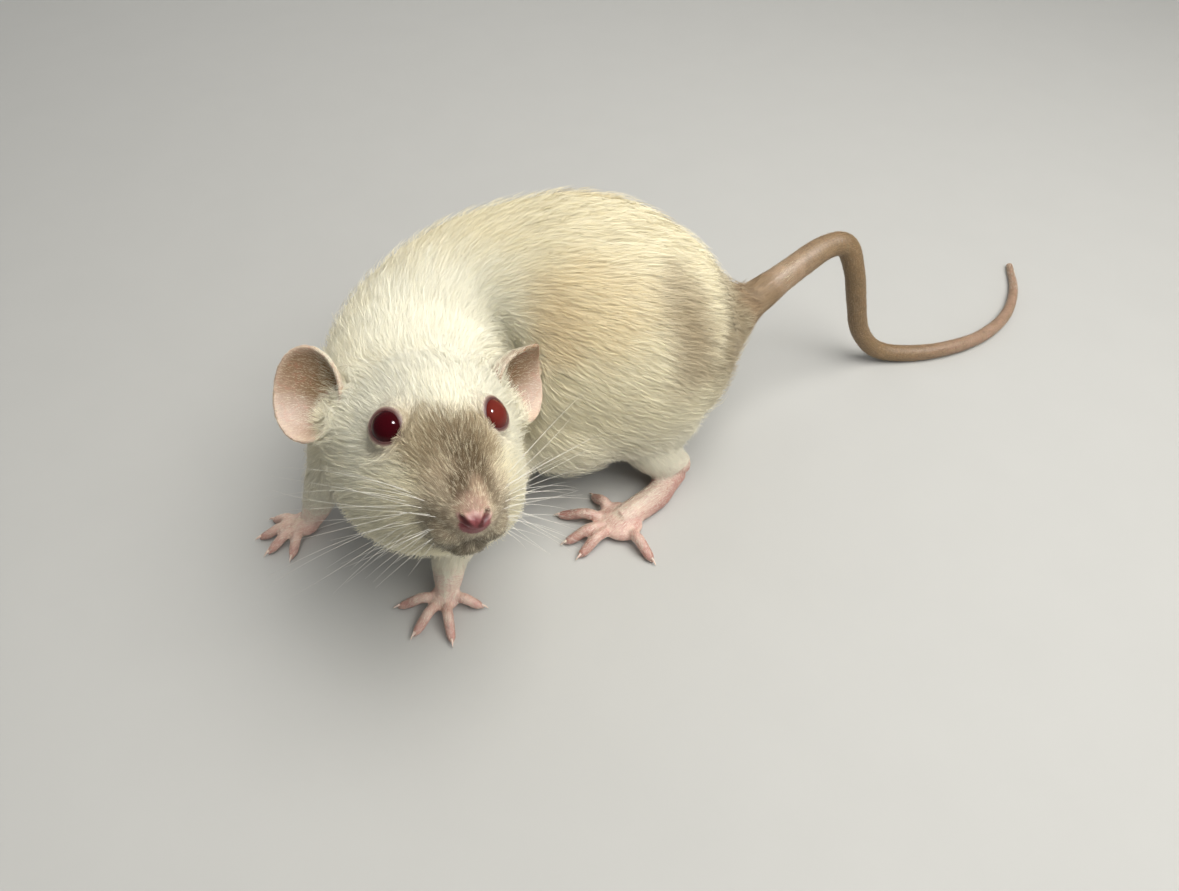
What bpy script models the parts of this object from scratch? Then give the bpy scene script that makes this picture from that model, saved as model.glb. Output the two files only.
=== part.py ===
# A young pet rat at life size, on all fours, with its head raised and turned towards its left side.
# Lengths are in millimetres and multiplied by MM, because the scene is in metres, with +Z up.
# Left and right are the animal's own. Its face looks along -Y, its back curls round to +X,
# and its tail arches down to the floor and trails on towards +X.

import math

import bmesh
import bpy
from mathutils import Matrix, Vector
from mathutils.bvhtree import BVHTree

MM = 0.001
GAP = 0.3  # left between solids that touch
FLOOR = 0.0

# The head's own frame has the nose tip at its origin, X to the left, Y backwards and Z up.
NOSE_TIP = Vector((-16.7, -69.8, 59.9))
HEAD_LEFT = Vector((0.932, 0.322, -0.169))
HEAD_BACK = Vector((-0.363, 0.836, -0.411))
EYE_PLACE = Vector((8.4, 23.4, 7.4))  # the left eyeball's centre
EYE_RADIUS = 3.2
EYE_OUTWARD = Vector((0.57, -0.66, 0.48))
LID_LENGTH = 7.3  # from corner to corner
LID_HEIGHT = 6.6
LID_THICKNESS = 0.6
MOUND_SUNK = 0.8  # how far behind the eyeball's middle the mound round it lies
MOUND_WIDTH = 4.7
MOUND_HEIGHT = 3.0
LIP_SUNK = 0.25
HEAD_LENGTH = 42.5  # nose tip to the joint with the neck

EAR_MIDDLE = 6.1  # from the deepest point of the cup out to the middle of the rim
EAR_HALF_WIDTH = 5.9
EAR_UP = 8.8
EAR_DOWN = 8.4
EAR_DEPTH = 3.6
EAR_THICKNESS = 0.75

MARGIN = 1.0  # by which a piece is left longer until its last cut
BODY_VOXEL = 0.6
BODY_ROUNDS = 24  # of smoothing
HEAD_VOXEL = 0.4
HEAD_ROUNDS = 8
RIM_ROUNDS = 2
FOOT_VOXEL = 0.3
DIGIT_RADIUS = 1.3
CLAW_LENGTH = 1.7
CLAW_RADIUS = 0.5
ANKLE_HEIGHT = 6.0

TRIANGLES = {
    "head": 3800,
    "neck": 500,
    "chest": 800,
    "torso": 600,
    "rump": 700,
    "foreleg": 320,
    "hind_leg": 380,
    "forepaw": 640,
    "hind_foot": 900,
}

# Colour and roughness
MATERIALS = {
    "coat": ((0.86, 0.82, 0.72), 0.85),
    "skin": ((0.86, 0.62, 0.55), 0.55),
    "ear_skin": ((0.85, 0.66, 0.56), 0.6),
    "eye": ((0.16, 0.005, 0.008), 0.05),
    "tail_skin": ((0.62, 0.45, 0.35), 0.6),
}
WEARS = {"ear": "ear_skin", "eye": "eye", "forepaw": "skin", "hind_foot": "skin", "tail": "tail_skin"}

X, Y, Z = Vector((1, 0, 0)), Vector((0, 1, 0)), Vector((0, 0, 1))
SIDES = {"left": 1, "right": -1}


# Frames


def head_frame():
    """Takes the head's own millimetres to the body's."""
    back = HEAD_BACK.normalized()
    left = (HEAD_LEFT - HEAD_LEFT.dot(back) * back).normalized()
    turn = Matrix((left, back, left.cross(back))).transposed().to_4x4()
    return Matrix.Translation(NOSE_TIP) @ turn


HEAD = head_frame()
BODY = Matrix.Identity(4)


# Collections, materials and meshes


def collection(name):
    made = bpy.data.collections.new(name)
    bpy.context.scene.collection.children.link(made)
    return made


def material(name, colour, roughness):
    made = bpy.data.materials.new(name)
    made.use_nodes = True
    shader = made.node_tree.nodes["Principled BSDF"]
    shader.inputs["Base Color"].default_value = (*colour, 1)
    shader.inputs["Roughness"].default_value = roughness
    shader.inputs["Metallic"].default_value = 0
    return made


def new_object(name, shape):
    """An object in the workshop collection from a bmesh, which is freed."""
    mesh = bpy.data.meshes.new(name)
    shape.to_mesh(mesh)
    shape.free()
    made = bpy.data.objects.new(name, mesh)
    bpy.data.collections["workshop"].objects.link(made)
    return made


def settle(obj):
    """Replaces an object's mesh by what its modifiers make of it."""
    bpy.context.view_layer.update()
    graph = bpy.context.evaluated_depsgraph_get()
    mesh = bpy.data.meshes.new_from_object(obj.evaluated_get(graph))
    obj.modifiers.clear()
    obj.data = mesh
    return obj


def keep_largest(obj):
    """Leaves only the closed surface with the most room inside."""
    shape = bmesh.new()
    shape.from_mesh(obj.data)
    bmesh.ops.triangulate(shape, faces=shape.faces)
    left_over = set(shape.verts)
    islands = []
    while left_over:
        island, queue = set(), [left_over.pop()]
        while queue:
            vert = queue.pop()
            island.add(vert)
            for edge in vert.link_edges:
                other = edge.other_vert(vert)
                if other in left_over:
                    left_over.discard(other)
                    queue.append(other)
        faces = {face for vert in island for face in vert.link_faces}
        room = sum(f.verts[0].co.dot(f.verts[1].co.cross(f.verts[2].co)) for f in faces)
        islands.append((room, island))
    islands.sort(key=lambda item: -item[0])
    for _, island in islands[1:]:
        bmesh.ops.delete(shape, geom=list(island), context="VERTS")
    shape.to_mesh(obj.data)
    shape.free()
    return obj


def combine(obj, others, operation):
    """Boolean with closed meshes, which are used up. They are dense, so it takes the solver for closed ones."""
    for other in others:
        boolean = obj.modifiers.new(other.name, "BOOLEAN")
        boolean.operation = operation
        boolean.solver = "MANIFOLD"
        boolean.object = other
    settle(obj)
    for other in others:
        bpy.data.objects.remove(other)
    return keep_largest(obj)


def copy(obj, name):
    made = bpy.data.objects.new(name, obj.data.copy())
    bpy.data.collections["workshop"].objects.link(made)
    return made


def soften(obj, voxel, rounds):
    """Melts joined forms into one skin of even small faces."""
    remesh = obj.modifiers.new("skin", "REMESH")
    remesh.mode = "VOXEL"
    remesh.voxel_size = voxel
    smooth = obj.modifiers.new("soft", "SMOOTH")
    smooth.factor = 0.5
    smooth.iterations = rounds
    return keep_largest(settle(obj))


def thin_out(obj, triangles):
    """Fewer triangles, with the form kept."""
    have = len(obj.data.polygons)
    if have > triangles:
        decimate = obj.modifiers.new("fewer", "DECIMATE")
        decimate.ratio = triangles / have
        settle(obj)
    return keep_largest(obj)


# Forms


def smooth_path(points, steps):
    """Catmull-Rom values through rows of numbers, `steps` to each stretch."""
    rows = [Vector(p) for p in points]
    rows = [2 * rows[0] - rows[1], *rows, 2 * rows[-1] - rows[-2]]
    path = []
    for a, b, c, d in zip(rows, rows[1:], rows[2:], rows[3:]):
        for k in range(steps):
            t = k / steps
            cubic = (3 * b - a - 3 * c + d) * t**3
            path.append(0.5 * (2 * b + (c - a) * t + (2 * a - 5 * b + 4 * c - d) * t**2 + cubic))
    path.append(rows[-2])
    return path


def ring(centre, across, up, half, rise, drop, above, below, sides):
    """A superellipse above the widest line and another one below it."""
    points = []
    for k in range(sides):
        angle = 2 * math.pi * k / sides
        c, s = math.cos(angle), math.sin(angle)
        power = 2 / (above if s >= 0 else below)
        side = math.copysign(abs(c) ** power, c) * half
        height = math.copysign(abs(s) ** power, s) * (rise if s >= 0 else drop)
        points.append(centre + across * side + up * height)
    return points


def loft(name, rings, frame):
    """A closed skin over rings of points, with a fan at each end."""
    shape = bmesh.new()
    loops = [[shape.verts.new(p) for p in points] for points in rings]
    sides = len(rings[0])
    for one, two in zip(loops, loops[1:]):
        for k in range(sides):
            after = (k + 1) % sides
            shape.faces.new((one[k], one[after], two[after], two[k]))
    for loop, points in ((loops[0], rings[0]), (loops[-1], rings[-1])):
        hub = shape.verts.new(sum(points, Vector()) / sides)
        for k in range(sides):
            shape.faces.new((loop[k], loop[(k + 1) % sides], hub))
    bmesh.ops.recalc_face_normals(shape, faces=shape.faces)
    bmesh.ops.transform(shape, matrix=frame, verts=shape.verts)
    return new_object(name, shape)


def ball(name, place, radii, frame, turn=(0, 0, 0), segments=28):
    """An ellipsoid with these half axes, turned by degrees about X, Y and Z in that order."""
    shape = bmesh.new()
    bmesh.ops.create_uvsphere(shape, u_segments=segments, v_segments=segments // 2, radius=1)
    spin = Matrix.Identity(4)
    for degrees, axis in zip(turn, "XYZ"):
        spin = Matrix.Rotation(math.radians(degrees), 4, axis) @ spin
    size = Matrix.Diagonal((*radii, 1))
    bmesh.ops.transform(shape, matrix=frame @ Matrix.Translation(place) @ spin @ size, verts=shape.verts)
    return new_object(name, shape)


def limb(name, rows, frame, grow=0.0, steps=5, resolution=4):
    """A round limb through rows of x, y, z and radius, from a bevelled curve made a closed mesh."""
    path = smooth_path(rows, steps)
    curve = bpy.data.curves.new(name, "CURVE")
    curve.dimensions = "3D"
    curve.bevel_depth = 1
    curve.bevel_resolution = resolution
    curve.use_fill_caps = True
    spline = curve.splines.new("POLY")
    spline.points.add(len(path) - 1)
    for point, row in zip(spline.points, path):
        point.co = (*row[:3], 1)
        point.radius = row[3] + grow
    guide = bpy.data.objects.new(name + "_guide", curve)
    bpy.data.collections["workshop"].objects.link(guide)
    bpy.context.view_layer.update()
    graph = bpy.context.evaluated_depsgraph_get()
    mesh = bpy.data.meshes.new_from_object(guide.evaluated_get(graph))
    shape = bmesh.new()
    shape.from_mesh(mesh)
    bmesh.ops.remove_doubles(shape, verts=shape.verts, dist=1e-4)
    bmesh.ops.recalc_face_normals(shape, faces=shape.faces)
    bmesh.ops.transform(shape, matrix=frame @ guide.matrix_world, verts=shape.verts)
    bpy.data.objects.remove(guide)
    return new_object(name, shape)


def half_space(name, point, normal, reach=400.0):
    """A large box whose one face lies at the point, on the side that the normal shows."""
    shape = bmesh.new()
    bmesh.ops.create_cube(shape, size=reach)
    normal = Vector(normal).normalized()
    turn = normal.to_track_quat("Z", "Y").to_matrix().to_4x4()
    place = Matrix.Translation(Vector(point) + normal * reach / 2)
    bmesh.ops.transform(shape, matrix=place @ turn, verts=shape.verts)
    return new_object(name, shape)


def trim(obj, point, normal, gap=0.0):
    """Cuts away what lies past the point along the normal, and `gap` more before it."""
    normal = Vector(normal).normalized()
    return combine(obj, [half_space("past", Vector(point) - normal * gap, normal)], "DIFFERENCE")


# Head


SKULL_SIDES = 44
# Back from the nose tip, half width, top, underside, height of the widest line, squareness above and below
SKULL = (
    (0.5, 2.0, 1.7, -2.1, -0.2, 2.0, 2.0),
    (1.6, 3.5, 2.9, -3.5, -0.5, 2.0, 2.0),
    (4.0, 5.6, 4.1, -5.2, -1.8, 2.0, 2.0),
    (8.0, 8.2, 5.7, -8.0, -3.0, 1.8, 2.1),
    (12.0, 10.3, 7.7, -11.2, -3.8, 1.7, 2.2),
    (17.0, 12.4, 10.5, -14.2, -4.6, 1.6, 2.3),
    (22.0, 14.2, 13.1, -16.8, -5.2, 1.6, 2.3),
    (28.0, 16.0, 15.4, -19.2, -5.6, 1.7, 2.3),
    (34.0, 17.5, 16.2, -20.6, -5.4, 1.85, 2.3),
    (40.0, 18.5, 15.8, -20.4, -4.4, 2.0, 2.2),
    (46.0, 17.0, 14.0, -18.6, -2.5, 2.0, 2.0),
    (52.0, 14.0, 11.0, -13.0, -1.0, 2.0, 2.0),
)


# Left side of the face, from the middle back to the corner of the mouth, with a radius for each point
LIPS = {
    "upper": ((0.5, 3.2, -5.2, 0.55), (2.3, 4.3, -6.9, 0.7), (4.4, 7.6, -8.2, 0.75), (6.6, 11.6, -8.8, 0.6)),
    "lower": ((0.4, 6.2, -8.0, 0.5), (2.2, 7.2, -8.8, 0.55), (4.2, 9.6, -9.8, 0.5), (6.4, 12.6, -10.4, 0.4)),
}
MOUTH = (
    (0, 4.4, -6.6, 0.4),
    (2.3, 5.8, -7.9, 0.45),
    (4.6, 8.6, -9.0, 0.45),
    (6.9, 12.2, -9.6, 0.4),
    (8.0, 14.6, -9.4, 0.3),
)
GROOVE = ((0, -0.9, -1.6, 0.3), (0, 0.8, -3.3, 0.35), (0, 2.6, -5.4, 0.45))
NOSTRIL = ((0.9, -0.9, -1.5, 0.4), (1.3, -0.3, -1.2, 0.62), (2.1, 0.5, -0.7, 0.6), (3.1, 1.8, -0.3, 0.35))


def skull():
    rings = []
    for back, half, top, low, widest, above, below in smooth_path(SKULL, 3):
        centre = Vector((0, back, widest))
        rings.append(ring(centre, X, Z, half, top - widest, widest - low, above, below, SKULL_SIDES))
    return loft("skull", rings, HEAD)


def mirrored(point, side):
    return Vector((point[0] * side, point[1], point[2]))


def eye_centre(side):
    return mirrored(EYE_PLACE, side)


def face_forms():
    """Nose, chin, whisker pads and the mounds round the eyes, which melt into the skull."""
    forms = [
        ball("nose", (0, 2.0, -0.2), (2.8, 2.5, 2.3), HEAD),
        ball("chin", (0, 10.0, -7.8), (3.8, 5.0, 2.2), HEAD),
    ]
    for name, side in SIDES.items():
        forms.append(ball(f"pad_{name}", mirrored((4.1, 9.2, -3.8), side), (4.0, 6.4, 3.9), HEAD))
        outward = mirrored(EYE_OUTWARD, side).normalized()
        mound = Matrix.Translation(eye_centre(side) - outward * MOUND_SUNK)
        mound = HEAD @ mound @ outward.to_track_quat("Z", "Y").to_matrix().to_4x4()
        forms.append(ball(f"mound_{name}", (0, 0, 0), (MOUND_WIDTH, MOUND_WIDTH, MOUND_HEIGHT), mound))
    return forms


def lid_ring(name, side):
    """Both lids of one eye: a tube round the eyeball, drawn out to a corner in front and behind."""
    outward = mirrored(EYE_OUTWARD, side).normalized()
    along = Y - outward * outward.dot(Y)
    along.normalize()
    up = outward.cross(along) * side
    rows = []
    for k in range(17):
        angle = 2 * math.pi * k / 16
        flat = along * math.cos(angle) * LID_LENGTH / 2 + up * math.sin(angle) * LID_HEIGHT / 2
        rest = math.sqrt((EYE_RADIUS + LID_THICKNESS) ** 2 - flat.length_squared)
        rows.append((*(eye_centre(side) + outward * rest + flat), LID_THICKNESS))
    return limb(f"lid_{name}", rows, HEAD, steps=2, resolution=2)


def on_skin(head, rows, side, depth):
    """The rows of one side moved to the nearest skin of the head and then this deep into it."""
    faces = [f.vertices for f in head.data.polygons]
    tree = BVHTree.FromPolygons([v.co for v in head.data.vertices], faces)
    found = []
    for x, y, z, radius in rows:
        place, normal, _, _ = tree.find_nearest(HEAD @ Vector((x * side, y, z)))
        found.append((*(place - normal * depth), radius))
    return found


def rim_forms(head):
    """Lips and lids, which stay sharper than the forms under them."""
    forms = []
    for name, side in SIDES.items():
        for place, rows in LIPS.items():
            forms.append(limb(f"{place}_lip_{name}", on_skin(head, rows, side, LIP_SUNK), BODY))
        forms.append(lid_ring(name, side))
    return forms


def face_cuts(head):
    """Eye sockets, nostrils, the groove under the nose and the line of the mouth."""
    cuts = [limb("groove", GROOVE, HEAD, steps=2, resolution=1)]
    for name, side in SIDES.items():
        cuts.append(ball(f"socket_{name}", eye_centre(side), [EYE_RADIUS + GAP] * 3, HEAD, segments=18))
        nostril = [(x * side, y, z, r) for x, y, z, r in NOSTRIL]
        cuts.append(limb(f"nostril_{name}", nostril, HEAD, steps=2, resolution=1))
    mouth = on_skin(head, MOUTH[::-1], -1, 0)[:-1] + on_skin(head, MOUTH, 1, 0)
    cuts.append(limb("mouth", mouth, BODY, steps=3, resolution=1))
    return cuts


# Ears


# Deepest point of each cup, the ways that the ear and its upper edge point, and how far that edge folds
EARS = {
    "left": ((14.6, 38.0, 7.6), (0.83, 0.53, 0.0), (0.2, 0.35, 0.93), 3.6),
    "right": ((-14.8, 38.4, 8.8), (-0.88, 0.42, 0.05), (-0.04, 0.35, 0.93), 0.6),
}


def ear(name, side):
    """A cup: a sheet bent round its deepest point and given thickness."""
    root, out, up, droop = EARS[name]
    root, out, up = Vector(root), Vector(out).normalized(), Vector(up)
    up = (up - out * up.dot(out)).normalized()
    front = out.cross(up) * side
    shape = bmesh.new()
    rings, spokes = 5, 24
    hub = shape.verts.new(root - front * EAR_DEPTH)
    before = None
    for i in range(1, rings + 1):
        t = i / rings
        row = []
        for k in range(spokes):
            angle = 2 * math.pi * k / spokes
            c, s = math.cos(angle), math.sin(angle)
            a = EAR_MIDDLE + c * EAR_HALF_WIDTH
            w = s * (EAR_UP if s > 0 else EAR_DOWN)
            lift = EAR_DEPTH * (t**2.2 - 1) + (0.9 * abs(s) + 0.4 * max(-c, 0)) * t**3
            fold = droop * max(s, 0) ** 2 * t**4
            w *= 0.35 * t**2 + 0.65 * t
            a *= t
            row.append(shape.verts.new(root + out * a + up * (w - 0.75 * fold) + front * (lift + fold)))
        for k in range(spokes):
            after = (k + 1) % spokes
            if before:
                shape.faces.new((before[k], row[k], row[after], before[after]))
            else:
                shape.faces.new((hub, row[k], row[after]))
        before = row
    if side < 0:
        bmesh.ops.reverse_faces(shape, faces=shape.faces)
    bmesh.ops.transform(shape, matrix=HEAD, verts=shape.verts)
    made = new_object(f"ear_{name}", shape)
    sheet = made.modifiers.new("thick", "SOLIDIFY")
    sheet.thickness = EAR_THICKNESS
    sheet.offset = -1
    settle(made)
    return made


# Trunk


TRUNK_SIDES = 48
# Centre, half width, rise and drop, from the neck to the root of the tail
TRUNK = (
    (-32, -38, 44, 15, 12.5, 14),
    (-35.5, -27, 41.5, 17.5, 14.5, 17),
    (-36, -14, 38, 20, 16.5, 20.5),
    (-31, -3, 36, 23, 22, 24),
    (-20.5, 3.5, 34.5, 26, 27, 26),
    (-7, 5.5, 33, 28.5, 30.5, 27),
    (6.5, 6.5, 32.5, 28.5, 29, 27),
    (18, 9, 31.4, 24.5, 23.4, 22.5),
    (27, 12.8, 30, 16, 15.5, 14.5),
    (34.5, 15.2, 30.6, 7.6, 7.4, 6.8),
    (40, 18.2, 31.6, 4.2, 4.2, 4.2),
)


def trunk():
    stations = smooth_path(TRUNK, 4)
    rings = []
    for i, (x, y, z, half, rise, drop) in enumerate(stations):
        before, after = stations[max(i - 1, 0)], stations[min(i + 1, len(stations) - 1)]
        along = Vector(after[:3]) - Vector(before[:3])
        across = along.cross(Z).normalized()
        up = across.cross(along).normalized()
        rings.append(ring(Vector((x, y, z)), across, up, half, rise, drop, 2.0, 2.4, TRUNK_SIDES))
    return loft("trunk", rings, BODY)


# The fuller flank on the side that the body bends to: its middle and half axes
FLANK = ((-6, -5.5, 22), (18, 19.5, 16.5))


# Legs. Rows are x, y, z and radius from the joint in the body down to the wrist or heel


FORELEG = {
    "left": (
        (-25.5, -8, 29, 8.5),
        (-20, -20, 18.5, 8.2),
        (-25.5, -33, 13, 5.8),
        (-30, -41, 8.5, 4.1),
        (-30.4, -44.4, 4.4, 3.0),
        (-30.8, -46.4, 2.2, 2.2),
    ),
    "right": (
        (-47.5, -9, 29, 8.5),
        (-55, -15.5, 21, 8),
        (-58.6, -21, 13.5, 5.2),
        (-61.2, -24, 8, 4.0),
        (-63, -25.6, 4.2, 2.9),
        (-64.6, -26.6, 2.2, 2.2),
    ),
}
THIGH = {
    "left": ((13, -5.5, 19.5), (14.2, 12, 14.2), (0, 0, 18)),
    "right": ((5, 26, 19.5), (14.2, 12, 14.2), (0, 0, 28)),
}
SHANK = {
    "left": ((9, -9, 17, 7), (16, -12.5, 9, 5.4), (20.5, -10.6, 5.2, 3.8), (20.8, -12.0, 3.2, 3.1)),
    "right": ((-5, 29, 17, 7), (2, 35, 9, 5.4), (7.5, 35.5, 5.2, 3.8), (6.5, 35.2, 3.2, 3.1)),
}


# Feet. A digit is its points from the ball of the foot to the tip


def digit(name, rows, size):
    """One toe with its claw."""
    radii = (1.0, 1.0, 0.92, 0.72)
    toe = [(*p, DIGIT_RADIUS * size * r) for p, r in zip(rows, radii)]
    tip, before = Vector(rows[-1]), Vector(rows[-2])
    point = (tip - before).normalized()
    point = (point + Vector((0, 0, -0.25))).normalized()
    middle = tip + point * CLAW_LENGTH * 0.6 + Vector((0, 0, 0.15))
    end = tip + point * CLAW_LENGTH * 1.15
    end.z = max(end.z, 0.3)
    claw = ((*tip, CLAW_RADIUS * 1.3), (*middle, CLAW_RADIUS * 0.9), (*end, CLAW_RADIUS * 0.35))
    return [
        limb(name, toe, BODY, steps=3, resolution=2),
        limb(name + "_claw", claw, BODY, steps=2, resolution=2),
    ]


def toe_rows(ball_point, heading, degrees, start, length, arch):
    """Points of a toe that leaves the ball of the foot at an angle and bends down to the floor."""
    angle = math.radians(heading + degrees)
    way = Vector((math.cos(angle), math.sin(angle), 0))
    rows = []
    for share, height in ((0.0, 2.2), (0.4, 2.2 + arch), (0.8, 1.5), (1.0, 1.0)):
        point = Vector(ball_point) + way * (start + (length - start) * share)
        point.z = height
        rows.append(point)
    return rows


# Palm, heading in degrees from +X, then each digit's turn from that heading and its reach
FOREPAWS = {
    "left": ((-31.0, -46.6), -92.0, ((-78, 10.6), (-32, 10.8), (15, 11.0), (80, 8.8))),
    "right": ((-65.4, -27.0), -154.0, ((54, 9.2), (20, 10.6), (-8, 10.8), (-40, 8.8))),
}


def forepaw(name):
    (x, y), heading, digits = FOREPAWS[name]
    forms = []
    for k, (turn, reach) in enumerate(digits):
        rows = toe_rows((x, y, 0), heading, turn, 1.6, reach - 1.0, 0.7)
        forms += digit(f"digit_{name}_{k}", rows, 0.95)
    forms.append(limb("wrist", FORELEG[name][-3:], BODY))
    paw = ball(f"forepaw_{name}", (x, y, 2.1), (3.5, 3.3, 2.1), BODY, (0, 0, heading))
    combine(paw, forms, "UNION")
    soften(paw, FOOT_VOXEL, 2)
    thin_out(paw, TRIANGLES["forepaw"])
    point, down = wrist(name)
    trim(paw, point, -down, GAP / 2)
    return trim(paw, (0, 0, FLOOR), -Z)


# Heel, middle, ball, heading in degrees, then each toe's turn from it and its start and reach from the ball
HIND_FEET = {
    "left": (
        ((20.8, -11.4), (15.2, -19.6), (7.0, -26.2)),
        -140.0,
        ((-93, 3.6, 11.0), (-50, 4.2, 15.0), (-17, 4.2, 14.1), (4.5, 4.2, 13.4), (84.7, 4.2, 13.0)),
    ),
    "right": (
        ((6.6, 35.2), (-2.0, 35.0), (-11.5, 33.6)),
        -172.0,
        ((62, 2.8, 9.0), (18, 3.6, 13.2), (0, 3.6, 13.8), (-18, 3.8, 12.8), (-52, 3.8, 11.0)),
    ),
}


def hind_foot(name):
    (heel, middle, front), heading, digits = HIND_FEET[name]
    arch = ((heel[0] + middle[0]) / 2, (heel[1] + middle[1]) / 2)
    forms = []
    for k, (turn, start, reach) in enumerate(digits):
        rows = toe_rows((*front, 0), heading, turn, start, reach - 1.0, 0.8)
        forms += digit(f"toe_{name}_{k}", rows, 1.05)
    forms.append(limb("heel", SHANK[name][-3:], BODY))
    forms.append(ball("ball", (*front, 1.9), (5.0, 5.7, 2.3), BODY, (0, 0, heading)))
    sole = ((*heel, 2.6, 3.0), (*arch, 2.6, 3.1), (*middle, 2.4, 3.2), (*front, 2.2, 3.0))
    foot = limb(f"hind_foot_{name}", sole, BODY)
    combine(foot, forms, "UNION")
    soften(foot, FOOT_VOXEL, 2)
    thin_out(foot, TRIANGLES["hind_foot"])
    trim(foot, (0, 0, ANKLE_HEIGHT), Z, GAP / 2)
    return trim(foot, (0, 0, FLOOR), -Z)


# Tail


# Middle line and radius, from inside the rump, over the arch and down, and then along the floor
TAIL = (
    (31, 12.6, 28.5, 4.6),
    (38, 16.4, 31.6, 3.9),
    (49, 23.4, 36.2, 3.25),
    (57, 28.6, 38.6, 2.95),
    (62.6, 30.6, 37.6, 2.8),
    (66.0, 29.8, 30.5, 2.55),
    (68.4, 29.4, 21.5, 2.45),
    (71.6, 30.0, 11.5, 2.35),
    (77.5, 30.8, 4.2, 2.3),
    (86, 31.2, 2.05, 2.2),
    (97, 33.0, 1.85, 2.0),
    (109, 38.4, 1.6, 1.75),
    (119, 47.6, 1.35, 1.5),
    (125.5, 59.5, 1.1, 1.2),
    (128.5, 72.5, 0.8, 0.9),
)
TAIL_CUTS = (1, 4, 8, 11)  # rows of TAIL where each length begins


def tail_cut(row):
    """A point on the tail's middle line and the way it runs there."""
    along = Vector(TAIL[row + 1][:3]) - Vector(TAIL[row - 1][:3])
    return Vector(TAIL[row][:3]), along.normalized()


def tail_lengths():
    """The tail in lengths, each cut square to the middle line, with a stub past each cut until then."""
    lengths = []
    for i, first in enumerate(TAIL_CUTS):
        last = TAIL_CUTS[i + 1] if i + 1 < len(TAIL_CUTS) else None
        rows = TAIL[first - 1 : last + 2] if last else TAIL[first - 1 :]
        piece = limb(f"tail_{i + 1}", rows, BODY, steps=4, resolution=3)
        point, way = tail_cut(first)
        trim(piece, point, -way, GAP / 2)
        if last:
            point, way = tail_cut(last)
            trim(piece, point, way, GAP / 2)
        lengths.append(trim(piece, (0, 0, FLOOR), -Z))
    return lengths


# The cuts between the parts of the body


def leg_room(kind, name, grow):
    """The room that a leg takes out of the body, which its own solid then fills."""
    if kind == "foreleg":
        rows = [(x, y, z, r + 1.2) for x, y, z, r in FORELEG[name]]
        return limb("room", rows, BODY, grow=grow, steps=2, resolution=3)
    place, radii, turn = THIGH[name]
    room = ball("room", place, [r + 1.0 + grow for r in radii], BODY, turn, segments=18)
    rows = [(x, y, z, r + 1.0) for x, y, z, r in SHANK[name]]
    return combine(room, [limb("lower", rows, BODY, grow=grow, steps=2, resolution=3)], "UNION")


def wrist(name):
    """The cut between foreleg and paw: a point and the way down the limb."""
    above, below = Vector(FORELEG[name][-3][:3]), Vector(FORELEG[name][-2][:3])
    return above.lerp(below, 0.3), (below - above).normalized()


BODY_CUTS = (
    (HEAD @ Vector((0, HEAD_LENGTH, 0)), HEAD.to_3x3() @ Vector((0, 1, -0.06))),
    (Vector((-37.5, -22, 38)), Vector((-0.2, 0.96, -0.2))),
    (Vector((-27, 0, 36)), Vector((0.85, 0.52, 0))),
    (Vector((7, 6, 33)), Vector((0.96, 0.26, -0.1))),
)
BODY_PARTS = ("head", "neck", "chest", "torso", "rump")
LEG_MEETS = {"foreleg": ("neck", "chest", "torso"), "hind_leg": ("torso", "rump")}


def trim_length(piece, index, margin):
    """Cuts one length of the body at its two joints, left longer by the margin at each end."""
    if index > 0:
        point, normal = BODY_CUTS[index - 1]
        trim(piece, point, -normal, GAP / 2 - margin)
    if index < len(BODY_CUTS):
        point, normal = BODY_CUTS[index]
        trim(piece, point, normal, GAP / 2 - margin)
    return piece


def whole_flesh():
    """Head, trunk, legs and the root of the tail as one soft skin, out to the tips of the coat."""
    flesh = trunk()
    forms = [skull(), limb("tail_root", TAIL[:3], BODY), ball("flank", *FLANK, BODY)]
    for name in SIDES:
        forms.append(limb(f"arm_{name}", FORELEG[name], BODY))
        place, radii, turn = THIGH[name]
        forms.append(ball(f"haunch_{name}", place, radii, BODY, turn))
        forms.append(limb(f"leg_{name}", SHANK[name], BODY))
    combine(flesh, forms, "UNION")
    return soften(flesh, BODY_VOXEL, BODY_ROUNDS)


def leg(flesh, kind, name):
    part = combine(copy(flesh, f"{kind}_{name}"), [leg_room(kind, name, MARGIN)], "INTERSECT")
    thin_out(part, TRIANGLES[kind])
    combine(part, [leg_room(kind, name, 0)], "INTERSECT")
    if kind == "foreleg":
        return trim(part, *wrist(name), GAP / 2)
    return trim(part, (0, 0, ANKLE_HEIGHT), -Z, GAP / 2)


def clear_of(obj, name):
    """A copy swollen by the gap, which cuts a neighbour clear of this solid."""
    made = copy(obj, name)
    swell = made.modifiers.new("swell", "DISPLACE")
    swell.strength = GAP
    swell.mid_level = 0
    return settle(made)


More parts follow.
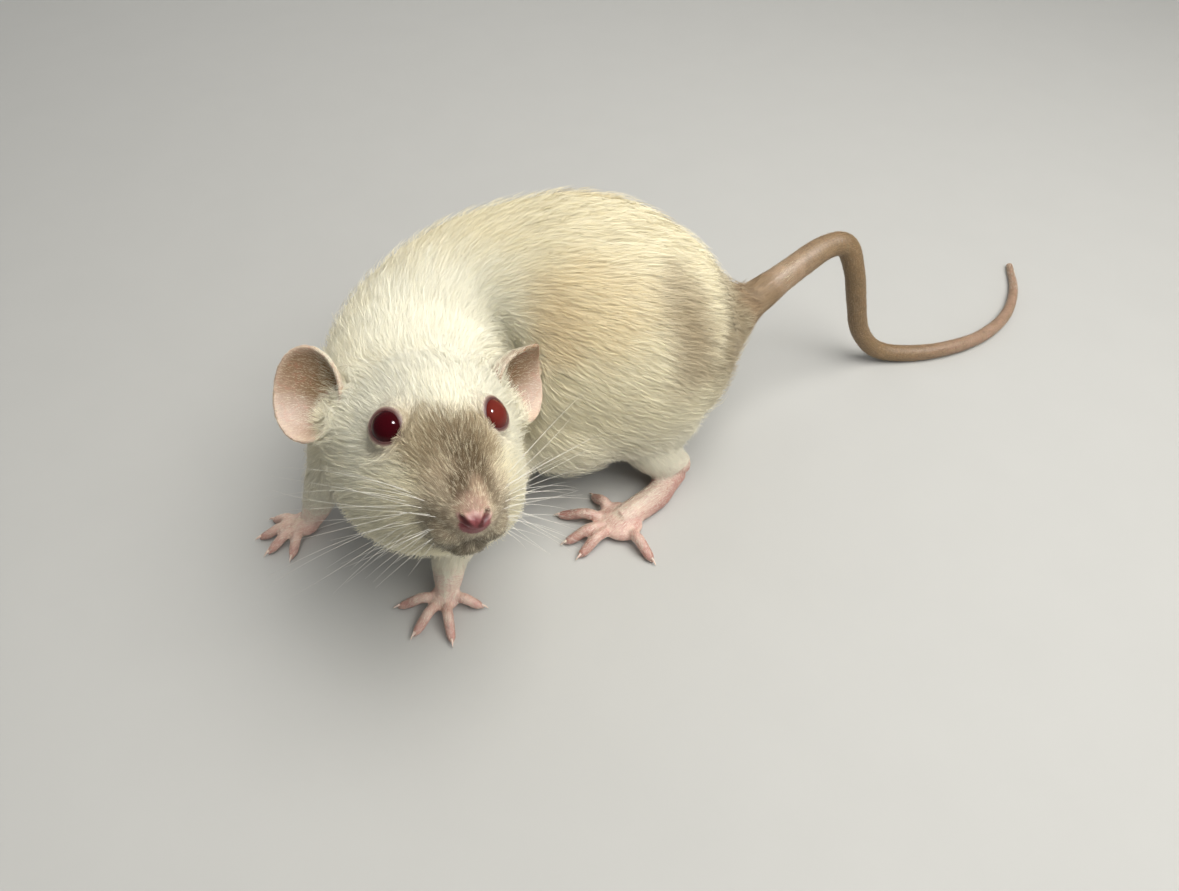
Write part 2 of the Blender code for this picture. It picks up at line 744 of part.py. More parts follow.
def main():
    for old in list(bpy.data.objects):
        bpy.data.objects.remove(old)
    collection("workshop")
    rat = collection("pet_rat")

    flesh = whole_flesh()
    nodes = []
    for name in SIDES:
        for kind in LEG_MEETS:
            nodes.append(leg(flesh, kind, name))

    swollen = []
    for index, kind in enumerate(BODY_PARTS):
        part = trim_length(copy(flesh, kind), index, MARGIN)
        if kind == "head":
            combine(part, face_forms(), "UNION")
            soften(part, HEAD_VOXEL, HEAD_ROUNDS)
            combine(part, rim_forms(part), "UNION")
            soften(part, HEAD_VOXEL, RIM_ROUNDS)
        thin_out(part, TRIANGLES[kind])
        trim_length(part, index, 0)
        if kind in ("head", "neck"):
            swollen.append(clear_of(part, f"clear_of_{kind}"))
        if kind == "head":
            combine(part, face_cuts(part), "DIFFERENCE")
        if kind == "rump":
            point, way = tail_cut(TAIL_CUTS[0])
            trim(part, point, way, GAP / 2)
        for leg_kind, met in LEG_MEETS.items():
            if kind in met:
                combine(part, [leg_room(leg_kind, name, GAP) for name in SIDES], "DIFFERENCE")
        nodes.append(part)

    for name, side in SIDES.items():
        nodes.append(ball(f"eye_{name}", eye_centre(side), [EYE_RADIUS] * 3, HEAD, segments=20))
        nodes.append(combine(ear(name, side), [copy(one, "clear") for one in swollen], "DIFFERENCE"))
        nodes += [forepaw(name), hind_foot(name)]
    nodes += tail_lengths()
    finish(nodes, rat)


def kind_of(name):
    return name.removesuffix("_left").removesuffix("_right").rstrip("_0123456789")


def finish(nodes, rat):
    """Metres, the origin under the middle of the whole animal, and each part in its material."""
    corners = [v.co for node in nodes for v in node.data.vertices]
    low = [min(c[i] for c in corners) for i in range(3)]
    high = [max(c[i] for c in corners) for i in range(3)]
    home = Vector(((low[0] + high[0]) / 2, (low[1] + high[1]) / 2, FLOOR))
    made = {name: material(name, *look) for name, look in MATERIALS.items()}
    for node in nodes:
        centre = sum((v.co for v in node.data.vertices), Vector()) / len(node.data.vertices)
        node.data.transform(Matrix.Scale(MM, 4) @ Matrix.Translation(-centre))
        node.location = (centre - home) * MM
        node.data.materials.clear()
        node.data.materials.append(made[WEARS.get(kind_of(node.name), "coat")])
        bpy.data.collections["workshop"].objects.unlink(node)
        rat.objects.link(node)
    for left in list(bpy.data.collections["workshop"].objects):
        bpy.data.objects.remove(left)
    bpy.data.collections.remove(bpy.data.collections["workshop"])


main()
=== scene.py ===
import math
import time

import bmesh
import bpy
import numpy as np
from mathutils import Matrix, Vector
from mathutils.bvhtree import BVHTree
from mathutils.kdtree import KDTree


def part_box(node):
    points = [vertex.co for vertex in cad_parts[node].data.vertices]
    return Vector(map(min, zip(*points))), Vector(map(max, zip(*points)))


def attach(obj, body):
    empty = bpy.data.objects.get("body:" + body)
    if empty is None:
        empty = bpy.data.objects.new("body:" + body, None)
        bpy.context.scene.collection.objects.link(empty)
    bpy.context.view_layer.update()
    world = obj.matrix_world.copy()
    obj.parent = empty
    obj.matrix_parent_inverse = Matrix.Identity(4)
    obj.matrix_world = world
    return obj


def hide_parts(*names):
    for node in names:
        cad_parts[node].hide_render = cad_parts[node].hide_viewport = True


startTime = time.time()
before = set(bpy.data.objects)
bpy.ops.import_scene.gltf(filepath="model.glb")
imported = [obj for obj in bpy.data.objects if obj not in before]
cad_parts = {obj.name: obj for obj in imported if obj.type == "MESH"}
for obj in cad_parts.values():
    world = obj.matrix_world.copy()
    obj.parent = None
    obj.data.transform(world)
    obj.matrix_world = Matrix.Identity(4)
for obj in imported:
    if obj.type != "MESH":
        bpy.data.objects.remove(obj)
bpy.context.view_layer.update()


def report(stage):
    print(f"rat: {stage}, {time.time() - startTime:.1f} s")


# Where things are

head = {
    "nose": (-16.7, -69.8, 59.9),
    "left": (0.932, 0.322, -0.169),
    "back": (-0.363, 0.836, -0.411),
    "eye": (8.4, 23.4, 7.4),  # left eyeball, in the head's own left, back and up
    "eyeOut": (0.57, -0.66, 0.48),
    "eyeRadius": 3.2,
    "stations": (0, 3, 8, 16, 26, 40),  # how far back the coat's values for the head are given
}

noseTip = np.array(head["nose"])
headBack = np.array(head["back"]) / np.linalg.norm(head["back"])
headLeft = np.array(head["left"]) - headBack * np.dot(headBack, head["left"])
headLeft /= np.linalg.norm(headLeft)
headUp = np.cross(headLeft, headBack)
headAxes = np.stack([headLeft, headBack, headUp])


def toHead(points):
    return (np.asarray(points, float) - noseTip) @ headAxes.T


def fromHead(points):
    return np.asarray(points, float) @ headAxes + noseTip


eyeLow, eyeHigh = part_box("eye_left")
home = fromHead(head["eye"]) - 500 * np.array(eyeLow + eyeHigh)  # the frame's origin, in body millimetres


def toMetres(points):
    return (np.asarray(points, float) - home) * 0.001


def fromMetres(points):
    return np.asarray(points, float) * 1000 + home


sides = {"left": 1, "right": -1}

# Middle lines of the trunk and limbs, from the head end to the tail end and from the body to the foot
paths = {
    "spine": [(-32, -38, 44), (-35.5, -27, 41.5), (-36, -14, 38), (-31, -3, 36), (-20.5, 3.5, 34.5),
              (-7, 5.5, 33), (6.5, 6.5, 32.5), (18, 9, 31.4), (27, 12.8, 30), (34.5, 15.2, 30.6),
              (42, 19, 32.4)],
    "foreleg_left": [(-25.5, -8, 29), (-20, -20, 18.5), (-25.5, -33, 13), (-30, -41, 8.5),
                     (-30.8, -46.4, 2.2)],
    "foreleg_right": [(-47.5, -9, 29), (-55, -15.5, 21), (-58.6, -21, 13.5), (-61.2, -24, 8),
                      (-64.6, -26.6, 2.2)],
    "hind_leg_left": [(12, -4, 34), (12, -7, 20), (16, -12.5, 9), (20.5, -10.6, 5.2)],
    "hind_leg_right": [(3, 24, 34), (-1, 28, 20), (2, 35, 9), (7.5, 35.5, 5.2)],
}


def smoothPath(rows, steps):
    # A curve through the rows, with this many points from one row to the next
    rows = [np.array(r, float) for r in rows]
    rows = [2 * rows[0] - rows[1], *rows, 2 * rows[-1] - rows[-2]]
    path = []
    for a, b, c, d in zip(rows, rows[1:], rows[2:], rows[3:]):
        for k in range(steps):
            t = k / steps
            bend, twist = 2 * a - 5 * b + 4 * c - d, 3 * b - a - 3 * c + d
            path.append(0.5 * (2 * b + (c - a) * t + bend * t**2 + twist * t**3))
    path.append(rows[-2])
    return np.array(path)


def alongPath(points, path):
    # For each point: how far along the path its nearest spot is, that spot, and the way the path runs there
    starts, runs = path[:-1], path[1:] - path[:-1]
    lengths = np.linalg.norm(runs, axis=1)
    before = np.concatenate([[0], np.cumsum(lengths)[:-1]])
    share = np.einsum("nmk,mk->nm", points[:, None] - starts[None], runs) / lengths**2
    share = np.clip(share, 0, 1)
    spots = starts[None] + share[..., None] * runs[None]
    away = np.linalg.norm(points[:, None] - spots, axis=2)
    best = away.argmin(1)
    rows = np.arange(len(points))
    knots = np.vstack([runs[:1], runs[1:] + runs[:-1], runs[-1:]])
    way = knots[best] * (1 - share[rows, best])[:, None] + knots[best + 1] * share[rows, best][:, None]
    way /= np.linalg.norm(way, axis=1)[:, None]
    return before[best] + share[rows, best] * lengths[best], spots[rows, best], way


def unit(vectors):
    return vectors / np.maximum(np.linalg.norm(vectors, axis=-1, keepdims=True), 1e-9)


def ramp(value, low, high):
    # Rises softly from 0 at low to 1 at high
    t = np.clip((np.asarray(value, float) - low) / (high - low), 0, 1)
    return t * t * (3 - 2 * t)


def mound(points, middle, halves):
    return np.exp(-(((points - middle) / halves) ** 2).sum(1))


def alongSkin(ways, normals):
    # The part of each way that runs along the skin
    return unit(ways - normals * (ways * normals).sum(1)[:, None])


def waviness(points, size, seed, waves=14):
    # A smooth random field of about this grain, from -1 to 1
    rng = np.random.default_rng(seed)
    ways = unit(rng.normal(size=(waves, 3))) * (2 * math.pi / size) * rng.uniform(0.6, 1.6, (waves, 1))
    phases = rng.uniform(0, 2 * math.pi, waves)
    return np.sin(points @ ways.T + phases).sum(1) / math.sqrt(waves / 2) * 0.6


# Skin

skinPlan = {
    "flesh": ["head", "neck", "chest", "torso", "rump", "foreleg_left", "foreleg_right", "hind_leg_left",
              "hind_leg_right", "ear_left", "ear_right", "forepaw_left", "forepaw_right", "hind_foot_left",
              "hind_foot_right"],
    "swell": 0.22,  # closes the thin cuts between the solids before they melt into one
    "earSwell": 0.06,
    "grain": 0.36,
    "lowest": 0.01,
    "weld": 2e-6,  # metres
    "eyePlug": 0.35,  # how far the filling of an eye hole stands past the eyeball
    "fine": (9.5, 12, 5.6),  # finer faces this far back, this far across and this near an eye
    "fair": {"body": 1.0, "head": 0.8, "rest": 0.35, "eye": 0.3},
    "rounds": (60, 24),
    "headDepth": (0.05, 0.22, 0.5, 0.8, 1.1, 1.7),
    "thinLegs": {"foreleg": 5.5, "hind_leg": 6.5},  # height from which the legs' coat grows deeper
    "thinnest": (0.25, 14),  # its share there, and how much higher it is full
    "thinRump": (31, 38, 0.45),  # towards the tail, from where to where, and how much thinner
    "thinEyes": (3.6, 6.5),
    "thinEars": 0.2,
    "depthRounds": (40, 20),
    "depth": {"neck": 1.9, "chest": 1.9, "torso": 1.8, "rump": 1.7, "foreleg": 1.3, "hind_leg": 1.4},
}


def kindOf(node):
    return node.replace("_left", "").replace("_right", "")


def swollenNode(node, swell):
    shape = bmesh.new()
    shape.from_mesh(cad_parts[node].data)
    bmesh.ops.remove_doubles(shape, verts=shape.verts, dist=skinPlan["weld"])
    bmesh.ops.recalc_face_normals(shape, faces=shape.faces)
    shape.normal_update()
    points = fromMetres([v.co for v in shape.verts])
    normals = np.array([v.normal for v in shape.verts])
    faces = [[v.index for v in f.verts] for f in shape.faces]
    shape.free()
    return points, points + normals * swell, faces


def shownObject(name, content):
    made = bpy.data.objects.new(name, content)
    bpy.context.scene.collection.objects.link(made)
    return made


def meshObject(name, points, faces, smooth=True):
    mesh = bpy.data.meshes.new(name)
    mesh.from_pydata([tuple(p) for p in points], [], faces)
    if smooth:
        mesh.shade_smooth()
    return shownObject(name, mesh)


def bandFaces(rings, count, shift=0, turned=False):
    # Faces from ring to ring of this many points each, numbered from shift on; turned ones look the other way
    faces = []
    for k in range(rings - 1):
        here, beyond = shift + k * count, shift + (k + 1) * count
        for j in range(count):
            n = (j + 1) % count
            corners = [here + j, here + n, beyond + n, beyond + j]
            faces.append(corners[:1] + corners[:0:-1] if turned else corners)
    return faces


def ballPoints(centre, radius, rings=24):
    points = []
    for i in range(rings + 1):
        for j in range(2 * rings):
            a, b = math.pi * i / rings, math.pi * j / rings
            way = np.array([math.sin(a) * math.cos(b), math.sin(a) * math.sin(b), math.cos(a)])
            points.append(centre + radius * way)
    return points, bandFaces(rings + 1, 2 * rings, turned=True)


def settle(obj):
    # What the modifiers make becomes the mesh
    bpy.context.view_layer.update()
    graph = bpy.context.evaluated_depsgraph_get()
    mesh = bpy.data.meshes.new_from_object(obj.evaluated_get(graph))
    obj.modifiers.clear()
    old = obj.data
    obj.data = mesh
    bpy.data.meshes.remove(old)


eyeCentres = {side: fromHead(np.array(head["eye"]) * (sign, 1, 1)) for side, sign in sides.items()}
eyeWays = {}
for side, sign in sides.items():
    eyeWays[side] = unit((np.array(head["eyeOut"]) * (sign, 1, 1)) @ headAxes)


def meltedFlesh():
    # All the solids of flesh swollen a little, with the eye holes filled, melted into one even skin
    points, faces, owners, plainPoints = [], [], [], []
    for number, node in enumerate(skinPlan["flesh"]):
        swell = skinPlan["earSwell"] if kindOf(node) == "ear" else skinPlan["swell"]
        plain, swollen, nodeFaces = swollenNode(node, swell)
        shift = len(points)
        points.extend(swollen)
        plainPoints.extend(plain)
        faces.extend([[i + shift for i in f] for f in nodeFaces])
        owners.extend([number] * len(nodeFaces))
    plainFaces = list(faces)
    for side in sides:
        ball, ballFaces = ballPoints(eyeCentres[side], head["eyeRadius"] + skinPlan["eyePlug"])
        shift = len(points)
        points.extend(ball)
        faces.extend([[i + shift for i in f] for f in ballFaces])
    skin = meshObject("rat_skin", toMetres(points), faces)
    melt = skin.modifiers.new("melt", "REMESH")
    melt.mode = "VOXEL"
    melt.voxel_size = skinPlan["grain"] * 1 / 1000
    settle(skin)
    tree = BVHTree.FromPolygons([tuple(p) for p in plainPoints], plainFaces)
    return skin, tree, owners


def refine(skin):
    # Finer faces on the muzzle and round the eyes
    shape = bmesh.new()
    shape.from_mesh(skin.data)
    places = fromMetres([v.co for v in shape.verts])
    own = toHead(places)
    back, across, byEye = skinPlan["fine"]
    fine = (own[:, 1] < back) & (np.abs(own[:, 0]) < across)
    for centre in eyeCentres.values():
        fine |= np.linalg.norm(places - centre, axis=1) < byEye
    picked = set(np.nonzero(fine)[0].tolist())
    edges = [e for e in shape.edges if e.verts[0].index in picked and e.verts[1].index in picked]
    bmesh.ops.subdivide_edges(shape, edges=edges, cuts=1, use_grid_fill=True)
    bmesh.ops.triangulate(shape, faces=[f for f in shape.faces if len(f.verts) > 4])
    shape.to_mesh(skin.data)
    shape.free()


class Field:
    # The skin's points and edges as arrays, for smoothing what each point carries
    def __init__(self, mesh):
        count = len(mesh.vertices)
        spots = np.empty(count * 3)
        mesh.vertices.foreach_get("co", spots)
        self.points = fromMetres(spots.reshape(-1, 3))
        edges = np.empty(len(mesh.edges) * 2, np.int32)
        mesh.edges.foreach_get("vertices", edges)
        self.edges = edges.reshape(-1, 2)
        self.count = count
        self.links = np.maximum(np.bincount(edges, minlength=count), 1)

    def mean(self, values):
        a, b = self.edges.T
        if values.ndim == 1:
            total = np.bincount(a, values[b], self.count) + np.bincount(b, values[a], self.count)
            return total / self.links
        return np.stack([self.mean(values[:, k]) for k in range(values.shape[1])], 1)

    def spread(self, values, rounds):
        for _ in range(rounds):
            values = 0.5 * values + 0.5 * self.mean(values)
        return values

    def fair(self, strength, rounds):
        # Rounds of smoothing that keep the bulk
        for _ in range(rounds):
            for factor in (0.5, -0.507):
                self.points += (self.mean(self.points) - self.points) * (strength * factor)[:, None]


def normalsOf(mesh):
    normals = np.empty(len(mesh.vertices) * 3)
    mesh.vertex_normals.foreach_get("vector", normals)
    return normals.reshape(-1, 3)


def setPoints(mesh, points):
    points[:, 2] = np.maximum(points[:, 2], skinPlan["lowest"])
    mesh.vertices.foreach_set("co", toMetres(points).ravel())
    mesh.update()


skin, fleshTree, fleshOwners = meltedFlesh()
refine(skin)
report(f"skin melted, {len(skin.data.vertices)} points")

field = Field(skin.data)
nearest = [fleshTree.find_nearest(p)[2] for p in field.points.tolist()]
owner = np.array(fleshOwners)[np.array(nearest)]
kinds = np.array([kindOf(n) for n in skinPlan["flesh"]])[owner]
names = np.array(skinPlan["flesh"])[owner]
report("skin named")

isBody = np.isin(kinds, ("neck", "chest", "torso", "rump", "foreleg", "hind_leg"))
isHead = kinds == "head"
isFoot = np.isin(kinds, ("forepaw", "hind_foot"))
isEar = kinds == "ear"

fair = skinPlan["fair"]
fairness = field.spread(np.where(isBody, fair["body"], np.where(isHead, fair["head"], fair["rest"])), 6)
near = np.minimum(*[np.linalg.norm(field.points - c, axis=1) for c in eyeCentres.values()])
fairness[near < 5] = fair["eye"]
field.fair(fairness, skinPlan["rounds"][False])
setPoints(skin.data, field.points)

depth = np.zeros(field.count)
for kind, value in skinPlan["depth"].items():
    depth[kinds == kind] = value
own = toHead(field.points)
depth[isHead] = np.interp(own[isHead, 1], head["stations"], skinPlan["headDepth"])
least, higher = skinPlan["thinnest"]
for kind, low in skinPlan["thinLegs"].items():
    some = kinds == kind
    depth[some] *= least + (1 - least) * ramp(field.points[some, 2], low, low + higher)
some = kinds == "rump"
begin, end, less = skinPlan["thinRump"]
depth[some] *= 1 - less * ramp(field.points[some, 0], begin, end)
depth = field.spread(depth, skinPlan["depthRounds"][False])
depth *= ramp(near, *skinPlan["thinEyes"])
depth[isEar] *= skinPlan["thinEars"]
swell = field.spread(np.where(isEar, skinPlan["earSwell"], skinPlan["swell"]), 6)
normals = normalsOf(skin.data)
field.points -= normals * (swell + depth)[:, None]
field.fair(np.where(isBody, 0.8, 0.15), 6)
setPoints(skin.data, field.points)
report("skin laid under the coat")

# Face

facePlan = {
    "twitch": 0.45,  # how far the nose is drawn to the rat's right
    "nostril": [(0.72, -1.1, -0.75), (1.05, -0.9, -0.45), (1.6, -0.3, 0.1), (2.1, 0.5, 0.75)],
    "nostrilDepth": 1.2,
    "nostrilWidth": 0.44,
    "groove": [(-0.45, -1.2, 0.4), (-0.45, -1.2, -1.0), (-0.35, 0.4, -3.3), (-0.1, 2.4, -5.2),
               (0, 4.2, -6.4)],
    "grooveDepth": 0.32,
    "grooveWidth": 0.26,
    "mouth": [(0, 4.4, -6.7), (2.3, 5.8, -8.0), (4.6, 8.6, -9.1), (6.9, 12.2, -9.6), (8.0, 14.6, -9.4)],
    "mouthDepth": 0.7,
    "mouthWidth": 0.34,
    "lip": 0.15,  # how far the lips stand out beside the mouth
    # middle, half sizes and rise of the nose pad and, on both sides, of the slim part and the whisker pad
    "pad": ((-0.3, 0.5, -0.4), (3.0, 2.6, 2.3), 0.35),
    "slim": ((7.5, 7.5, -4.5), (3.2, 4.5, 4), -1.1),
    "whiskerPad": ((6.5, 7, -3), (3.5, 4, 3.5), 0.12),
    "nostrilRim": 0.30,
    "lidOpen": (52, 58),  # half angles of the opening, across and along
    "lidRise": 0.14,  # of the lids' edge over the eyeball
    "lidSwell": 0.40,
    "behindEye": 0.75,  # how far the skin in the opening sinks under the eyeball's surface
    # degrees past the lids' edge between which the skin turns in behind the eye, and runs out into the face
    "lidInner": (-4, 1.5),
    "lidOuter": (14, 52),
}


def reachTo(points, rows):
    # How far each point is from the curve through the rows
    path = smoothPath(rows, 4)
    starts, runs = path[:-1], path[1:] - path[:-1]
    best = np.full(len(points), 1e9)
    for start, run in zip(starts, runs):
        t = np.clip((points - start) @ run / (run @ run), 0, 1)
        best = np.minimum(best, np.linalg.norm(points - start - t[:, None] * run, axis=1))
    return best


def mirrored(points, shift=0.0):
    # Both sides of the face folded onto its left side
    folded = points + (shift, 0, 0)
    folded[:, 0] = np.abs(folded[:, 0])
    return folded


def carveFace():
    own = toHead(field.points)
    face = np.nonzero((own[:, 1] < 18) & isHead)[0]
    p = own[face]
    folded = mirrored(p)
    normals = normalsOf(skin.data)[face]
    lines = {"nostril": mirrored(p, facePlan["twitch"]), "mouth": folded, "groove": p}
    reach = {key: reachTo(where, facePlan[key]) for key, where in lines.items()}
    middle, halves, height = facePlan["pad"]
    rise = height * mound(p, middle, halves)
    beside = np.exp(-((reach["nostril"] - 0.75) / 0.42) ** 2) * np.exp(-(np.maximum(p[:, 1], 0) / 2.5) ** 2)
    rise += facePlan["nostrilRim"] * beside
    rise += facePlan["lip"] * np.exp(-((reach["mouth"] - 0.8) / 0.55) ** 2)
    for key in lines:
        rise -= facePlan[key + "Depth"] * np.exp(-(reach[key] / facePlan[key + "Width"]) ** 2)
    middle, halves, height = facePlan["slim"]
    rise += height * mound(folded, middle, halves)
    # rows of small bumps on the whisker pads
    rows = np.sin(p[:, 1] * 2.6) * np.sin((p[:, 2] - 0.25 * p[:, 1]) * 2.4)
    middle, halves, height = facePlan["whiskerPad"]
    rise += height * rows * mound(folded, middle, halves)
    field.points[face] += normals * rise[:, None]


def pastLids(side, points):
    # How far each point is from the eye, and how many degrees past the edge of the lids
    away = points - eyeCentres[side]
    distance = np.linalg.norm(away, axis=1)
    ways, way = unit(away), eyeWays[side]
    along = unit(headBack - way * (headBack @ way))
    angle = np.degrees(np.arccos(np.clip(ways @ way, -1, 1)))
    turn = np.arctan2(ways @ np.cross(way, along), ways @ along)
    narrow, wide = facePlan["lidOpen"]
    return distance, angle - narrow - (wide - narrow) * np.abs(np.cos(turn)) ** 3


def shapeLids():
    # The skin round each eye becomes two lids with an opening, and sinks behind the eyeball inside it
    radius = head["eyeRadius"]
    for side in sides:
        centre = eyeCentres[side]
        some = np.nonzero(np.linalg.norm(field.points - centre, axis=1) < radius + 3.2)[0]
        distance, past = pastLids(side, field.points[some])
        inside = 1 - ramp(past, *facePlan["lidInner"])
        begin, end = facePlan["lidOuter"]
        closeTo = 1 - ramp(past, begin, end)
        shell = radius + facePlan["lidRise"] + facePlan["lidSwell"] * ramp(past, 0, begin) * closeTo
        new = distance * (1 - closeTo) + shell * closeTo
        new = new * (1 - inside) + (radius - facePlan["behindEye"]) * inside
        field.points[some] = centre + unit(field.points[some] - centre) * new[:, None]


carveFace()
shapeLids()
setPoints(skin.data, field.points)
report("face carved")

# Toes and claws

footPlan = {
    # middle of the palm or ball, heading in degrees, then each digit's turn from it and its reach
    "forepaw_left": ((-31.0, -46.6), -92.0, ((-78, 10.6), (-32, 10.8), (15, 11.0), (80, 8.8))),
    "forepaw_right": ((-65.4, -27.0), -154.0, ((54, 9.2), (20, 10.6), (-8, 10.8), (-40, 8.8))),
    "hind_foot_left": ((7.0, -26.2), -140.0, ((-93, 11.0), (-50, 15.0), (-17, 14.1), (4.5, 13.4),
                                              (84.7, 13.0))),
    "hind_foot_right": ((-11.5, 33.6), -172.0, ((62, 9.0), (18, 13.2), (0, 13.8), (-18, 12.8), (-52, 11.0))),
    "toeRadius": 1.9,
    "toeTip": 0.35,  # from here on a toe is drawn back
    "clawLength": 1.6,
    "clawWidth": 0.36,
    "clawStart": 0.25,  # in front of the digit's tip
    "clawHigh": 0.42,
    "clawLowest": 0.06,
    "clawRoot": 0.2,  # where the piece begins inside the toe
    "clawDrop": (0.25, 0.75),  # how it sinks along its length, evenly and more and more
    "clawEnd": -0.55,
    "clawShape": (0.85, 1.15),  # width and height, as shares
    "clawColour": (0.66, 0.48, 0.40),
    "clawTip": (0.80, 0.68, 0.58),
}


def digitsOf(foot):
    # The tip of each digit and the way it points
    (x, y), heading, digits = footPlan[foot]
    for turn, reach in digits:
        angle = math.radians(heading + turn)
        way = np.array([math.cos(angle), math.sin(angle), 0.0])
        yield np.array([x, y, 1.0]) + way * (reach - 1.0), way


feet = ["forepaw_left", "forepaw_right", "hind_foot_left", "hind_foot_right"]


def roundToes():
    # The solids' claws are drawn back into blunt toe tips, as the claws are pieces of their own
    for foot in feet:
        some = np.nonzero(names == foot)[0]
        for tip, way in digitsOf(foot):
            away = field.points[some] - tip
            along = away @ way
            across = np.linalg.norm(away - along[:, None] * way, axis=1)
            close = (across < footPlan["toeRadius"]) & (along > footPlan["toeTip"])
            extra = along[close] - footPlan["toeTip"]
            field.points[some[close]] -= way * (extra - 0.45 * np.tanh(extra / 0.8))[:, None]


def clawPiece(foot):
    # Each claw is a horn that narrows and curves down from the top of its toe
    points, faces = [], []
    rings, count = 7, 10
    begin, high = footPlan["clawStart"], footPlan["clawHigh"]
    even, more = footPlan["clawDrop"]
    wide, tall = footPlan["clawShape"]
    for tip, way in digitsOf(foot):
        side = np.cross(way, (0, 0, 1))
        shift = len(points)
        for k in range(rings):
            t = k / rings
            centre = tip + way * (begin + footPlan["clawLength"] * t)
            centre = centre + np.array([0, 0, high - even * t - more * t * t])
            size = footPlan["clawWidth"] * (1 - t) ** 0.75
            down = unit(np.array([0, 0, 1.0]) + way * 0.9 * t)
            for j in range(count):
                a = 2 * math.pi * j / count
                points.append(centre + side * math.cos(a) * size * wide + down * math.sin(a) * size * tall)
        points.append(tip + way * (begin + footPlan["clawLength"]) + np.array([0, 0, footPlan["clawEnd"]]))
        points.append(tip + way * footPlan["clawRoot"] + np.array([0, 0, high]))
        faces.extend(bandFaces(rings, count, shift, True))
        for j in range(count):
            n = (j + 1) % count
            faces.append([shift + (rings - 1) * count + j, len(points) - 2, shift + (rings - 1) * count + n])
            faces.append([shift + n, len(points) - 1, shift + j])
    points = [(x, y, max(z, footPlan["clawLowest"])) for x, y, z in points]
    return meshObject(f"claws_{foot}", toMetres(points), faces)


roundToes()
setPoints(skin.data, field.points)

# Colours that skin and coat share

pelt = {
    "cream": (0.90, 0.83, 0.61),
    "white": (0.94, 0.915, 0.77),
    "belly": (0.86, 0.82, 0.68),
    "fine": 0.9,  # grain of the streaks, per mm
    # middle, half sizes, colour, strength and softness of each patch, in body millimetres
    "body": [
        ((-31, -16, 50), (20, 19, 14), (0.94, 0.915, 0.77), 1.0, 0.5),
        ((0, -13, 54), (13, 10, 11), (0.82, 0.68, 0.41), 0.62, 0.5),
        ((-7, -16, 50), (4.5, 9, 9), (0.70, 0.55, 0.32), 0.55, 0.6),
        ((18.0, -7.5, 54), (4.6, 6.2, 6), (0.41, 0.31, 0.175), 0.62, 0.9),
        ((20.3, -11.5, 48.5), (4.6, 6.5, 7), (0.38, 0.285, 0.16), 0.72, 0.9),
        ((21.5, -15.5, 41), (5.0, 7, 7), (0.42, 0.325, 0.20), 0.7, 0.9),
        ((-4, 26, 54), (13, 10, 11), (0.82, 0.68, 0.41), 0.55, 0.5),
        ((17, 24, 49), (5, 8, 9), (0.52, 0.41, 0.25), 0.7, 0.6),
        ((32, 2, 36), (8.5, 17, 13), (0.34, 0.26, 0.155), 0.85, 0.5),
        ((40, 17, 33), (9, 9, 9), (0.34, 0.225, 0.125), 0.9, 0.4),
        ((88, 32, 22), (51, 60, 60), (0.38, 0.26, 0.15), 0.9, 0.06),
    ],
    # the same for the head, in its own left, back and up
    "head": [
        ((0, 30, 8), (24, 14, 18), (0.955, 0.935, 0.80), 0.9, 0.5),
        ((-13, 22, -7), (8, 14, 10), (0.80, 0.76, 0.58), 0.5, 0.6),
        ((13, 22, -7), (8, 14, 10), (0.80, 0.76, 0.58), 0.5, 0.6),
    ],
    # the face mask, from between the eyes down over the muzzle, with painted shade on the lower whisker pads
    # and under the chin
    "mask": [
        ((-8.6, 23.0, 7.4), (5.6, 5.6, 5.6), (0.55, 0.46, 0.33), 0.55, 0.4),
        ((8.6, 23.0, 7.4), (5.2, 5.2, 5.2), (0.60, 0.50, 0.38), 0.4, 0.4),
        ((-5.4, 16.8, 8.2), (4.8, 6.0, 5.0), (0.48, 0.385, 0.24), 0.85, 0.4),
        ((5.6, 16.1, 7.8), (3.8, 5.4, 5.0), (0.45, 0.355, 0.22), 0.88, 0.35),
        ((-0.4, 11.2, 7.6), (9.2, 8.6, 6.0), (0.44, 0.345, 0.215), 0.9, 0.32),
        ((0.0, 5.6, 0.5), (7.6, 8.0, 7.8), (0.48, 0.375, 0.26), 0.8, 0.4),
        ((1.2, 13.6, 8.4), (5.0, 4.6, 4.8), (0.15, 0.098, 0.044), 0.72, 0.6),
        ((1.5, 8.2, 5.8), (2.8, 6.0, 3.8), (0.11, 0.07, 0.03), 0.88, 0.55),
        ((-1.3, 4.4, 3.2), (1.9, 4.4, 2.8), (0.12, 0.077, 0.037), 0.85, 0.5),
        ((3.5, 4.4, 2.6), (1.3, 3.4, 2.6), (0.17, 0.118, 0.065), 0.65, 0.5),
        ((1.2, 3.6, 3.6), (1.25, 3.0, 2.0), (0.46, 0.33, 0.225), 0.75, 0.5),
        # lower whisker pads: the mask's brown with painted shade, more of it on the rat's right side
        ((-5.4, 4.6, -2.4), (3.4, 4.8, 3.6), (0.19, 0.14, 0.09), 0.62, 0.6),
        ((5.4, 4.6, -2.4), (3.2, 4.4, 3.4), (0.21, 0.16, 0.105), 0.5, 0.6),
        # painted shade under the chin and lower lip
        ((0.0, 5.0, -7.8), (6.8, 6.0, 3.2), (0.15, 0.115, 0.078), 0.82, 0.5),
        ((-0.2, 1.4, 1.8), (2.3, 2.6, 1.8), (0.44, 0.285, 0.205), 0.75, 0.5),
    ],
    "ragged": 0.42,  # how much single hairs cross the edges of the mask
    "white": 0.4,  # share of cream in the pale hairs among the brown ones
    "faceOnly": ((0, 12, 2), (16, 24, 18), 0.2),
    "bellyTo": (6.0, 34.0),  # heights between which the belly's colour turns into the back's
    # grain and play of the wavy edges of each list's patches
    "edges": {"body": (0.2, 0.9), "head": (0.2, 0.7), "mask": (0.75, 0.5)},
}


